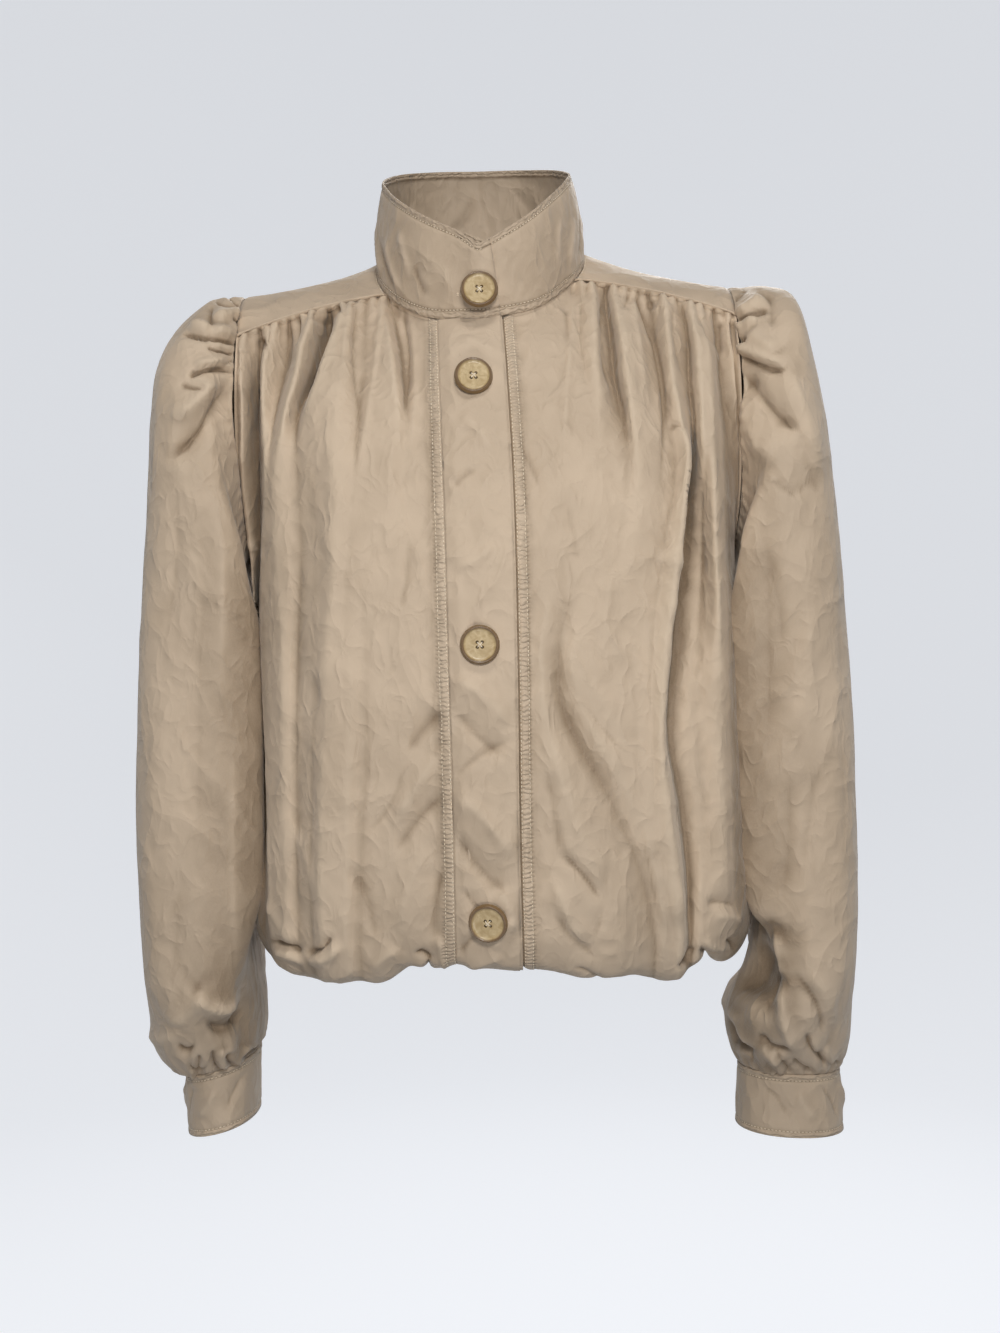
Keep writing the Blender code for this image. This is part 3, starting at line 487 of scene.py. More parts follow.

# %% [markdown]
# ## Folds
#
# Gathered cloth falls in ridges and troughs that start at the seam where it is gathered
# and run down until they open out. We trace each ridge and each trough as a path seen from
# the front, with its height beside it, and let the cloth ease from one path to the next.
# Two paths close together, one high and one low, give the crisp edge of a fold that leans
# over, and the wide slope beside it is the flat side of the fold. It keeps every fold where
# its path is given, which a cloth simulation would not.

# %% Ridges and troughs of the fronts
# Each row is one path from the top down: (across, height, rise of the cloth there).
RIGHT_FRONT_LINES = (
    ((-191, -78, 0), (-191, -186, 0), (-184, -306, 0), (-186, -453, 0), (-185, -534, 0)),
    ((-188, -83, 4), (-185, -127, 4), (-187, -186, 2), (-184, -306, 0), (-186, -453, -1), (-184, -534, 0)),
    ((-173, -74, -5), (-174, -105, -9), (-176, -143, -13), (-177, -217, -15), (-186, -306, -15),
     (-178, -383, -14),
     (-175, -449, -11), (-174, -486, -5), (-175, -536, -2)),
    ((-166, -70, 3), (-168, -100, 4), (-168, -136, 5), (-165, -190, 6), (-169, -248, 6), (-171, -308, 6),
     (-171, -383, 5), (-169, -448, 5), (-167, -500, 5), (-165, -534, 4)),
    ((-152, -65, -5), (-152, -89, -6), (-155, -118, -4), (-159, -145, 1), (-162, -183, 5.5), (-165, -248, 6),
     (-167, -308, 6), (-166, -381, 5), (-165, -448, 5), (-165, -534, 4)),
    ((-132, -59, 5), (-138, -86, 7), (-142, -115, 7), (-148, -137, 7), (-152, -161, 7), (-157, -190, 7),
     (-156, -250, 7), (-153, -308, 6.5), (-155, -381, 5.5), (-155, -448, 5), (-155, -532, 4)),
    ((-120, -52, -8), (-123, -78, -13), (-129, -102, -13), (-134, -120, -11), (-139, -137, -4),
     (-141, -161, 2),
     (-139, -193, 2), (-137, -252, 1.5), (-141, -309, 1), (-143, -381, 1), (-144, -446, 1), (-145, -531, 1)),
    ((-108, -49, 7), (-113, -72, 9), (-120, -97, 9), (-127, -123, 8), (-135, -152, 4.5), (-131, -186, 3),
     (-128, -252, 3), (-130, -309, 3), (-131, -381, 3), (-133, -446, 3), (-135, -529, 2)),
    ((-103, -47, 7), (-106, -83, 9), (-108, -117, 8.5), (-111, -148, 7.5), (-112, -194, 6.5),
     (-112, -252, 6.5),
     (-118, -309, 6), (-122, -381, 6.5), (-125, -446, 7), (-127, -528, 6)),
    ((-92, -63, 2), (-91, -112, 3), (-93, -158, 3.5), (-96, -199, 4), (-100, -253, 4), (-103, -309, 4),
     (-105, -381, 5), (-107, -446, 5), (-110, -528, 4)),
    ((-83, -42, 2.5), (-74, -79, 5), (-69, -113, 5), (-65, -146, 3.5), (-73, -200, 3), (-81, -253, 2.5),
     (-88, -311, 2), (-91, -381, 1.5), (-95, -444, 1), (-99, -526, 0)),
    ((-72, -58, -3), (-65, -89, -4), (-61, -124, -3), (-58, -152, 0.5), (-57, -200, 1), (-59, -311, 1),
     (-63, -381, 1), (-65, -444, 1), (-69, -527, 1)),
    ((-39, -68, 0), (-39, -311, 0), (-40, -527, 0)),
)
LEFT_FRONT_LINES = (
    ((27, -66, 0), (21, -312, 0), (17, -528, 0)),
    ((56, -53, 1), (50, -139, 1.5), (48, -199, 1), (39, -285, 1), (34, -327, 2.5), (38, -369, 3.5),
     (47, -412, 4.5), (58, -448, 4.5), (69, -484, 4), (77, -530, 3)),
    ((82, -51, 4), (81, -87, 5), (81, -139, 4), (80, -176, 2), (64, -257, 0.5), (48, -312, -0.5),
     (47, -355, -1.5),
     (60, -388, -2), (77, -419, -1.5), (92, -453, -1), (103, -484, -1), (112, -532, -1)),
    ((92, -49, -4), (94, -85, -6), (95, -119, -6), (98, -144, -3), (100, -177, 0), (85, -257, 1),
     (58, -314, 1.5),
     (58, -348, 2.5), (73, -381, 3), (88, -410, 2.5), (102, -449, 1.5), (111, -486, 1), (116, -532, 1)),
    ((97, -47, 3), (100, -84, 6), (102, -117, 6), (104, -145, 4.5), (107, -177, 3), (104, -257, 2.5),
     (98, -314, 2), (100, -384, 2), (106, -449, 2.5), (115, -500, 2.5), (122, -533, 2)),
    ((126, -54, -3), (127, -88, -3), (129, -122, -2.5), (131, -154, -1.5), (135, -183, 0), (125, -243, 2.5),
     (113, -314, 3), (111, -386, 3), (114, -449, 3), (121, -500, 3), (125, -534, 2)),
    ((136, -55, 4), (136, -87, 5), (137, -126, 5), (142, -157, 5), (146, -180, 7), (142, -210, 8.5),
     (137, -247, 9), (131, -286, 9), (125, -322, 8.5), (121, -358, 8), (119, -386, 7), (123, -430, 6),
     (127, -472, 6), (130, -500, 6), (131, -535, 4)),
    ((150, -59, -1), (152, -84, -2), (151, -126, -2.5), (152, -156, -3), (151, -179, -11), (148, -209, -16),
     (143, -245, -17), (137, -286, -17), (132, -322, -15), (127, -358, -12), (126, -386, -9), (133, -430, -8),
     (137, -474, -8), (138, -502, -8), (139, -535, -4)),
    ((154, -59, 5), (156, -85, 7), (157, -126, 7), (157, -156, 7), (158, -178, 4), (157, -208, -2),
     (157, -245, -5), (154, -286, -7), (150, -322, -6), (147, -358, -4), (147, -388, -3), (149, -432, -3),
     (148, -474, -2), (146, -536, 0)),
    ((163, -61, 3), (165, -92, 7), (165, -136, 8), (165, -177, 8), (165, -245, 8), (167, -285, 7),
     (167, -322, 6),
     (167, -388, 5), (167, -455, 4), (165, -541, 2)),
    ((175, -65, -3), (176, -95, -3), (175, -135, 0), (179, -177, 3), (184, -242, 4), (191, -314, 3),
     (194, -393, 2), (184, -458, 1), (188, -554, 0)),
    ((186, -68, 1), (186, -104, 2), (188, -175, 1), (189, -314, 0), (192, -460, 0), (189, -549, 0)),
)

FOLD_GAIN = 1.9
FOLD_SINK = 5.0                 # the paths' zero lies this far behind the panel's smooth shape


def between_paths(x, z, paths):
    """Height from one traced path's rise to the next one's, half straight and half eased."""
    total = np.zeros_like(x)
    places, rises = [], []
    for path in paths:
        rows = path[::-1]
        places.append(smooth(column(rows, 1), column(rows, 0), z))
        rises.append(smooth(column(rows, 1), column(rows, 2), z))
    for near, far, low, high in zip(places[:-1], places[1:], rises[:-1], rises[1:]):
        share = (x - near) / np.maximum(far - near, 1.5)
        here = (share >= 0) & (share < 1)
        total = np.where(here, low + (high - low) * (0.5 * share + 0.5 * ease(share)), total)
    return total


print("paths:", len(RIGHT_FRONT_LINES), "and", len(LEFT_FRONT_LINES))

# %% [markdown]
# ### Small tucks
#
# Between the large folds the gathers leave short tucks, a few millimetres wide. Each is a
# bell along its own path, added to the height that is there. It could be noise, but nearly
# every tuck of the real jacket starts at the yoke's seam, and noise starts anywhere.

# %% Small tucks of the fronts
# Each row is: rise, width to the wearer's right, width to the left, points (across, height).
RIGHT_FRONT_TUCKS = (
    (-2.5, 3, 3, ((-186, -88), (-185, -107))), (-2.5, 3, 3, ((-172, -76), (-166, -90))),
    (-2.5, 2.5, 2.5, ((-166, -72), (-163, -85))), (-3.5, 2, 2, ((-143, -60), (-143, -88))),
    (-2.5, 2.5, 2.5, ((-130, -57), (-130, -68))), (-3.0, 2.5, 2.5, ((-113, -52), (-111, -63))),
    (-3.0, 2.5, 2.5, ((-102, -47), (-102, -57))), (-2.0, 2.5, 2.5, ((-95, -45), (-95, -51))),
    (-2.0, 2.5, 2.5, ((-87, -43), (-88, -47))), (-1.4, 3, 3, ((-97, -69), (-98, -89))),
    (-1.8, 2, 2.5, ((-92, -112), (-95, -166), (-96, -199))), (-1.6, 3, 3, ((-110, -70), (-108, -114))),
    (-2.2, 2, 2.4, ((-98, -50), (-99, -96), (-91, -168))),
    (-2.4, 2, 2.4, ((-65, -55), (-59, -96), (-62, -158))),
    (2.0, 2.2, 3, ((-80, -52), (-84, -117), (-95, -202))),
    (1.8, 2.2, 2.6, ((-58, -60), (-53, -110), (-56, -190))),
    (-2.4, 2, 2.2, ((-124, -60), (-121, -84), (-127, -104))),
    (-2.2, 2, 2.2, ((-152, -66), (-149, -84), (-151, -110))),
)
LEFT_FRONT_TUCKS = (
    (-2.0, 3, 3, ((66, -37), (66, -50))), (-2.0, 2.5, 2.5, ((77, -38), (76, -52))),
    (-3.0, 2.5, 2.5, ((109, -47), (104, -65))), (-4.0, 3, 3, ((116, -49), (121, -69), (127, -96))),
    (-2.5, 2.5, 2.5, ((127, -52), (127, -62))), (-3.5, 3, 3, ((162, -68), (166, -82), (172, -95))),
    (-3.5, 3, 3, ((178, -71), (177, -83), (177, -100))), (-3.5, 3, 3, ((187, -70), (189, -85), (191, -103))),
    (-1.8, 1.8, 3.5, ((21, -150), (23, -171), (31, -191), (38, -215))), (-1.9, 3, 4, ((60, -61), (62, -103))),
    (-2.2, 2, 2.4, ((120, -54), (129, -122), (121, -225))),
    (2.0, 2.4, 3, ((67, -50), (57, -139), (52, -200))),
    (-2.2, 2, 2.4, ((88, -50), (86, -100), (92, -150))),
    (-2.4, 2, 2.4, ((142, -60), (141, -90), (146, -128))),
    (-1.8, 2, 2.6, ((73, -46), (70, -90), (74, -140))), (2.0, 2, 2.6, ((112, -52), (113, -90), (117, -150))),
)
BLEND_OUT = 0.42                # a tuck dies out over this share of its length


def fold_relief(x, z, folds):
    """Sum of bells: rise * exp(-(distance from the path / width)^1.35), faded in and out along it."""
    total = np.zeros_like(x)
    for rise, left, right, path in folds:
        xs = [point[0] for point in reversed(path)]
        zs = [point[1] for point in reversed(path)]
        length = zs[-1] - zs[0]
        off = x - smooth(zs, xs, z)
        width = np.where(off < 0, left, right)
        fade_in = max(4.0, (0.16 if zs[-1] > -200 else 0.7) * length)
        start = ease((zs[-1] + 0.35 * fade_in - z) / fade_in)
        end = 1.0 if zs[0] < -490 else ease((z - zs[0]) / (BLEND_OUT * length))
        total += rise * np.exp(-((np.abs(off) / width) ** 1.35)) * start * end
    return total


print("tucks:", len(RIGHT_FRONT_TUCKS), "and", len(LEFT_FRONT_TUCKS))

# %% [markdown]
# ### The folds behind
#
# No picture shows the back, so its folds are made up in the manner of the fronts: ridges
# and troughs in turn, of uneven length. The same bells draw them, from three points each.

# %% Folds of the back
# across 1, height 1, across 2, height 2, across 3, height 3, rise, width left, width right
FOLDS_BACK = (
    (-168, -95, -172, -180, -170, -330, 6.0, 9, 10),
    (-140, -92, -146, -160, -150, -300, -6.5, 9, 9),
    (-118, -90, -122, -170, -126, -400, 6.5, 11, 12),
    (-88, -90, -90, -150, -94, -330, -5.0, 11, 11),
    (-62, -90, -60, -160, -58, -380, 5.0, 13, 12),
    (-20, -90, -24, -170, -30, -300, -4.0, 14, 14),
    (15, -90, 14, -200, 8, -420, 5.0, 14, 13),
    (48, -90, 50, -150, 54, -320, -4.5, 12, 12),
    (78, -90, 82, -180, 86, -420, 6.0, 12, 12),
    (108, -90, 110, -150, 116, -300, -6.0, 10, 10),
    (134, -92, 138, -170, 142, -360, 6.5, 10, 11),
    (165, -95, 168, -180, 168, -330, 5.5, 9, 9),
    (-150, -350, -146, -440, -150, -545, 5.0, 14, 16),
    (-60, -380, -70, -460, -74, -545, -4.5, 18, 16),
    (40, -360, 46, -450, 40, -545, -4.5, 16, 18),
    (140, -350, 138, -440, 144, -545, 5.0, 16, 14),
)


# the same rows in the order of the tucks, with narrower bells
BACK_RELIEF = tuple((row[6], 0.75 * row[7], 0.75 * row[8], (row[0:2], row[2:4], row[4:6]))
                    for row in FOLDS_BACK)
print("back folds:", len(BACK_RELIEF))

# %% [markdown]
# ## Sizes of the sleeves
#
# A sleeve is a tube of rings, each with its outer and its inner point, because a sleeve
# hangs at a slant and its two sides are easier to read off than a middle and a width. Both
# sleeves have tables of their own, since cloth never hangs the same on both sides.

# %% Sizes of the sleeves, cuffs and buttons
# Sleeve rings. Each is an oval between an outer and an inner point, seen from the front.
# station, outer x, outer z, inner x, inner z, front, back, square
SLEEVE_RIGHT = (
    (0.0, -191.4, -34, -192.4, -236, -70, 70, 2.0),
    (1.0, -203, -34, -195.5, -241, -84, 83, 2.1),
    (2.0, -217, -41, -197, -249, -93, 91, 2.3),
    (3.0, -240, -64, -197, -260, -98, 95, 2.6),
    (4.0, -253, -92, -196, -274, -100, 95, 2.8),
    (5.0, -258, -128, -195, -294, -100, 94, 2.9),
    (6.5, -262, -190, -194, -324, -98, 91, 3.0),
    (8.5, -268, -275, -193.5, -370, -95, 88, 3.0),
    (10.5, -273, -360, -194, -421, -94, 88, 3.0),
    (12.5, -275.5, -440, -195, -474, -93, 88, 3.0),
    (14.5, -276, -515, -198, -530, -92, 87, 2.9),
    (16.0, -275, -565, -194, -572, -88, 85, 2.7),
    (17.0, -275, -596, -190, -596, -80, 83, 2.2),
    (18.0, -272, -622, -190, -614, -72, 75, 2.2),
    (19.0, -261, -640, -192, -625, -60, 63, 2.2),
    (20.0, -250.5, -645, -194.5, -631, -47, 49, 2.2),
)
SLEEVE_LEFT = (
    (0.0, 191.4, -34, 192.4, -236, -70, 70, 2.0),
    (1.0, 204, -35, 195.5, -241, -84, 83, 2.1),
    (2.0, 220, -37, 197, -249, -93, 91, 2.3),
    (3.0, 238, -47, 197, -260, -98, 95, 2.6),
    (4.0, 248, -85, 196, -274, -100, 95, 2.8),
    (5.0, 256, -128, 196, -294, -100, 94, 2.9),
    (6.5, 263, -190, 196, -324, -98, 91, 3.0),
    (8.5, 270, -275, 196.5, -370, -95, 88, 3.0),
    (10.5, 275, -360, 198, -421, -94, 88, 3.0),
    (12.5, 276.5, -440, 201, -474, -93, 88, 3.0),
    (14.5, 276, -515, 204, -530, -92, 87, 2.9),
    (16.0, 275, -565, 196, -572, -88, 85, 2.7),
    (17.0, 275.5, -600, 183, -598, -79, 83, 2.2),
    (18.0, 275, -625, 180, -618, -67, 72, 2.2),
    (19.0, 271.5, -645, 184, -638, -50, 54, 2.2),
    (20.0, 268, -654, 190, -651, -36, 39, 2.2),
)
SLEEVE_LAST = 20.0
SLEEVE_WRAP = 12.0     # the sleeve's body side laps this far round the body's front and back
WRAP_TURN = 136.0

# Folds of a sleeve, by turn round it and by station along it.
# turn 0 is the outer side, 90 the front, 180 the body side, 270 the back.
# turn1, station1, turn2, station2, turn3, station3, rise, width in degrees
SLEEVE_FOLDS_RIGHT = (
    (38, 0.2, 36, 1.6, 30, 3.6, -7, 8),
    (55, 0.2, 52, 1.6, 48, 4.6, 6, 8),
    (68, 0.2, 66, 1.6, 66, 5.5, -7, 8),
    (82, 0.2, 82, 1.8, 86, 6.5, 6, 9),
    (98, 0.2, 100, 1.8, 108, 7.5, -6, 9),
    (22, 0.2, 20, 1.4, 14, 3.4, 5, 8),
    (4, 0.2, 4, 1.4, 2, 3.0, -5, 8),
    (-14, 0.2, -14, 1.4, -12, 3.2, 5, 8),
    (-32, 0.2, -32, 1.5, -30, 3.6, -6, 8),
    (-50, 0.2, -50, 1.6, -52, 4.6, 6, 8),
    (-68, 0.2, -70, 1.6, -76, 5.2, -6, 9),
    (-88, 0.2, -92, 1.6, -100, 6.0, 5, 9),
    (62, 7, 92, 10, 118, 14, -6, 14),
    (40, 10, 72, 13, 108, 17.5, -5, 12),
    (122, 12.5, 128, 16, 118, 19.7, 6, 9),
    (140, 12.5, 144, 16, 134, 19.7, -6, 9),
    (-60, 8, -92, 11, -112, 16, -6, 14),
    (-120, 13, -112, 16, -104, 19.7, 6, 11),
)
SLEEVE_FOLDS_LEFT = (
    (36, 0.2, 34, 1.6, 28, 3.6, -6, 8),
    (54, 0.2, 52, 1.6, 50, 4.4, 7, 8),
    (70, 0.2, 70, 1.6, 72, 5.0, -7, 8),
    (86, 0.2, 88, 1.8, 92, 6.0, 6, 9),
    (104, 0.2, 106, 1.8, 112, 7.0, -6, 9),
    (18, 0.2, 16, 1.4, 12, 3.2, 5, 8),
    (0, 0.2, 0, 1.4, -2, 3.0, -5, 8),
    (-18, 0.2, -18, 1.4, -20, 3.4, 6, 8),
    (-36, 0.2, -36, 1.6, -36, 4.0, -6, 8),
    (-54, 0.2, -54, 1.6, -58, 4.8, 6, 8),
    (-72, 0.2, -74, 1.6, -80, 5.6, -5, 9),
    (-92, 0.2, -96, 1.6, -104, 6.0, 5, 9),
    (64, 6, 78, 9, 96, 13, -6, 13),
    (112, 9, 96, 13, 84, 18, 6, 10),
    (128, 9, 112, 13, 101, 18, -6, 10),
    (60, 13, 62, 16, 70, 19.6, -5, 9),
    (-64, 8, -90, 11, -112, 16, -6, 14),
    (-124, 12, -112, 16, -102, 19.7, 6, 11),
)

# Cuffs. Their top rings are the last sleeve rings; the bottom rings are these ovals.
# outer x, outer z, inner x, inner z, front, back
CUFF_RIGHT_END = (-249, -692, -196, -681, -46, 48)
CUFF_LEFT_END = (270, -703, 187, -699, -38, 40)

# Buttons: across, height, lean to the side and lean forward in degrees.
BUTTONS = (
    (-4.9, -53.0, 0, -8),
    (-10.4, -122.0, 4, -12),
    (-9.1, -315.0, 0, 0),
    (-6.8, -510.0, -10, 8),
)

print("sleeve rings:", len(SLEEVE_RIGHT))

# %% [markdown]
# ## Crinkles, gathers and stitched seams
#
# Washed cotton keeps creases from its folds. Ridged noise gives them: take smooth random
# heights, and fold the curve at zero, so that every crossing becomes a sharp crease
# between two flat facets. Three sizes, each turned another way and stretched along the
# cloth, add up to a crumple that never lines up with the grid.

# %% Noise, creases and gathers
NOISE_CELLS = 64       # the noise repeats after this many cells
# cell size in mm, stretch along the cloth, turn in degrees, height in mm
CRUMPLE = ((27.0, 1.5, 12, 0.80), (13.0, 1.5, -28, 0.40), (6.5, 1.4, 40, 0.18))


def soft_noise(a, b, seed):
    """Random heights from -1 to 1 on a square lattice, joined by smooth steps."""
    table = np.random.default_rng(seed).uniform(-1, 1, (NOISE_CELLS, NOISE_CELLS))
    i, j = np.floor(a).astype(int), np.floor(b).astype(int)
    s, t = ease(a - i), ease(b - j)
    i, j, k, m = i % NOISE_CELLS, j % NOISE_CELLS, (i + 1) % NOISE_CELLS, (j + 1) % NOISE_CELLS
    low = table[i, j] * (1 - s) + table[k, j] * s
    high = table[i, m] * (1 - s) + table[k, m] * s
    return low * (1 - t) + high * t


def crumple(u, v, seed):
    """Sum of folded noise: height * (0.4 - |noise|), one turned and stretched lattice for each size."""
    total = np.zeros_like(u)
    for step, (cell, stretch, turn, height) in enumerate(CRUMPLE):
        c, s = np.cos(np.radians(turn)), np.sin(np.radians(turn))
        a = (u * c + v * s) / cell + 7.3 * step
        b = (v * c - u * s) / (cell * stretch) + 3.1 * step
        a = a + 0.45 * soft_noise(a / 2.3, b / 2.3, seed + 40 + step)
        total += height * 2 * (0.4 - np.abs(soft_noise(a, b, seed + step)))
    return total


def gather_wave(place, pitch, seed):
    """A cosine whose pitch wanders, so that no two gathers are alike: from -1 to 1."""
    zero = np.zeros_like(place)
    phase = 2 * np.pi * place / pitch + 2.4 * soft_noise(place / (2.7 * pitch), zero, seed)
    return np.cos(phase) * (0.65 + 0.35 * soft_noise(place / (1.6 * pitch), zero + 5.5, seed))


def soft_creases(a, b, creases):
    """Sum of rise * exp(-(distance from an arc / width)^1.3), each arc from point to point."""
    total = np.zeros_like(a)
    for a1, b1, a2, b2, bend, rise, width in creases:
        length = np.hypot(a2 - a1, b2 - b1)
        ca, cb = (a2 - a1) / length, (b2 - b1) / length
        t = ((a - a1) * ca + (b - b1) * cb) / length
        off = (b - b1) * ca - (a - a1) * cb - bend * 4 * t * (1 - t)
        along = ease((t + 0.04) / 0.3) * ease((1.04 - t) / 0.3)
        total += rise * np.exp(-((np.abs(off) / width) ** 1.3)) * along
    return total


print("crumple sizes:", [row[0] for row in CRUMPLE], "mm")

# %% [markdown]
# ### Measuring
#
# A crease 4 mm wide has to be 4 mm wide on the cloth, wherever the grid is stretched. So we
# measure each grid over its surface: from its edges for the seams, and both ways for the
# crumple. Grids are also laid out by even lengths, so that no face is much larger.

# %% Measuring a grid
def measure(grid):
    """Millimetres over the surface: across from the middle column, and along from the first row.

    Each is the mean length of its rows or columns, so a pattern on them never slants.
    """
    across = np.linalg.norm(np.diff(grid, axis=1), axis=-1)
    along = np.linalg.norm(np.diff(grid, axis=0), axis=-1)
    u = np.concatenate([np.zeros_like(across[:, :1]), np.cumsum(across, axis=1)], axis=1)
    v = np.concatenate([np.zeros_like(along[:1]), np.cumsum(along, axis=0)], axis=0)
    u, v = u.mean(axis=0, keepdims=True), v.mean(axis=1, keepdims=True)
    return u - u[:, u.shape[1] // 2] + 0 * v, v + 0 * u


def from_edge(grid, axis, last):
    """Millimetres over the surface from one edge of a grid."""
    steps = np.linalg.norm(np.diff(grid, axis=axis), axis=-1)
    zero = np.zeros_like(np.take(steps, [0], axis=axis))
    run = np.concatenate([zero, np.cumsum(steps, axis=axis)], axis=axis)
    return np.take(run, [-1], axis=axis) - run if last else run


def from_edges(grid):
    """Millimetres over the surface from the first and last column, and the first and last row."""
    return [from_edge(grid, axis, last) for axis in (1, 0) for last in (False, True)]


def groove(distance, depth, reach):
    """The dip where cloth turns in at a seam: -depth * exp(-(distance / reach)^2)."""
    return -depth * np.exp(-((distance / reach) ** 2))


def painted_stitch_shade(distance):
    """Painted shade along a row of stitches, where the cloth dips: 3 * exp(-(distance / 0.8)^2)."""
    return 3.0 * np.exp(-((distance / 0.8) ** 2))


def inset(grid, axis, last, distance):
    """Pulls one edge of a grid back along the surface. A negative distance lets it reach further."""
    grid = np.moveaxis(grid, axis, 0)
    edge, inner = (-1, -2) if last else (0, 1)
    step = grid[inner] - grid[edge]
    length = np.linalg.norm(step, axis=-1, keepdims=True)
    grid[edge] = grid[edge] + step * (distance / np.maximum(length, distance))
    return np.moveaxis(grid, 0, axis)


def raised(grid, outwards, height, closed=False):
    """Moves a grid along its own normals. A closed one takes its neighbours across the join."""
    if closed:
        wide = np.concatenate([grid[:, -2:-1], grid, grid[:, 1:2]], axis=1)
        n = normals(wide, wide - grid.mean(axis=1, keepdims=True))[:, 1:-1]
    else:
        n = normals(grid, outwards)
    return grid + n * height[..., None]


def packed(count, crowd=0.6):
    """Steps from 0 to 1, less crowd * sin(2 pi step) / (2 pi), which packs them at both ends."""
    steps = np.linspace(0, 1, count)
    return steps - crowd * np.sin(2 * np.pi * steps) / (2 * np.pi)


def even_steps(values, points, count, crowd=0.0):
    """Picks count values so that their points are evenly far apart, or packed at both ends."""
    run = np.concatenate([[0], np.cumsum(np.linalg.norm(np.diff(points, axis=0), axis=1))])
    return np.interp(packed(count, crowd) * run[-1], run, values)


def body_stations(start, turn, face, count, crowd=0.0):
    """Stations at even lengths up the body from a start, along one turn, or packed at both ends."""
    fine = np.linspace(start, TOP_STATION, 500)
    return even_steps(fine, body_section(fine, np.full_like(fine, turn), face), count, crowd)


print("measuring tools ready")

# %% [markdown]
# ## The cloth itself
#
# Crinkled cotton is matt, with a soft glow where you look along the surface, which
# Blender calls sheen. The weave is half a millimetre, so it only breaks up the highlight.
# Over it lie fine crinkles as a bump, in the same folded noise as the larger ones in the
# mesh. The colour wanders between two beiges, and every panel stores how deep each point
# lies in its folds: troughs and the rows of stitches get painted shade, and ridges get a
# painted highlight.

# %% Cloth material
BEIGE_LIT = (0.560, 0.441, 0.323, 1)
BEIGE_DEEP = (0.478, 0.372, 0.268, 1)
# the next two colours are painted light: a paler beige as painted highlight on ridges, and a dark brown as
# painted shade in troughs and stitch rows
BEIGE_PAINTED_HIGHLIGHT = (0.640, 0.520, 0.385, 1)
PAINTED_SHADE_BROWN = (0.200, 0.138, 0.083, 1)


def node(tree, kind, **inputs):
    """Adds a node and sets the inputs that are given by name."""
    return set_inputs(tree.nodes.new(kind), **inputs)


def link(tree, source, output, target, slot):
    """Joins an output of one node to an input of another."""
    tree.links.new(source.outputs[output], target.inputs[slot])


def kept_value(tree, key):
    """A node that reads the number kept at each point of the mesh under a name."""
    made = tree.nodes.new("ShaderNodeAttribute")
    made.attribute_name = key
    return made


def ramp(tree, source, output, low, high, first=0.0, last=1.0):
    """Maps low..high of a value to first..last."""
    made = node(tree, "ShaderNodeMapRange", From_Min=low, From_Max=high, To_Min=first, To_Max=last)
    link(tree, source, output, made, "Value")
    return made


def mix_colour(tree, factor, factor_out, first, second):
    """Mixes two colours, or a colour and the output of a node."""
    made = tree.nodes.new("ShaderNodeMix")
    made.data_type = "RGBA"
    link(tree, factor, factor_out, made, 0)
    for slot, value in ((6, first), (7, second)):
        if isinstance(value, tuple):
            made.inputs[slot].default_value = value
        else:
            link(tree, value, 2, made, slot)
    return made


def bump_over(tree, source, output, strength, distance, below=None):
    """A bump whose height is the value of a node, laid over the bump below it."""
    made = node(tree, "ShaderNodeBump", Strength=strength, Distance=distance)
    link(tree, source, output, made, "Height")
    if below:
        link(tree, below, "Normal", made, "Normal")
    return made


def bands(tree, place, direction, **inputs):
    """A wave along one direction of the cloth's own map."""
    made = node(tree, "ShaderNodeTexWave", **inputs)
    made.bands_direction = direction
    link(tree, place, "UV", made, "Vector")
    return made


def product(tree, first, second):
    """The values of two nodes, multiplied."""
    made = tree.nodes.new("ShaderNodeMath")
    made.operation = "MULTIPLY"
    link(tree, first, "Fac", made, 0)
    link(tree, second, "Fac", made, 1)
    return made


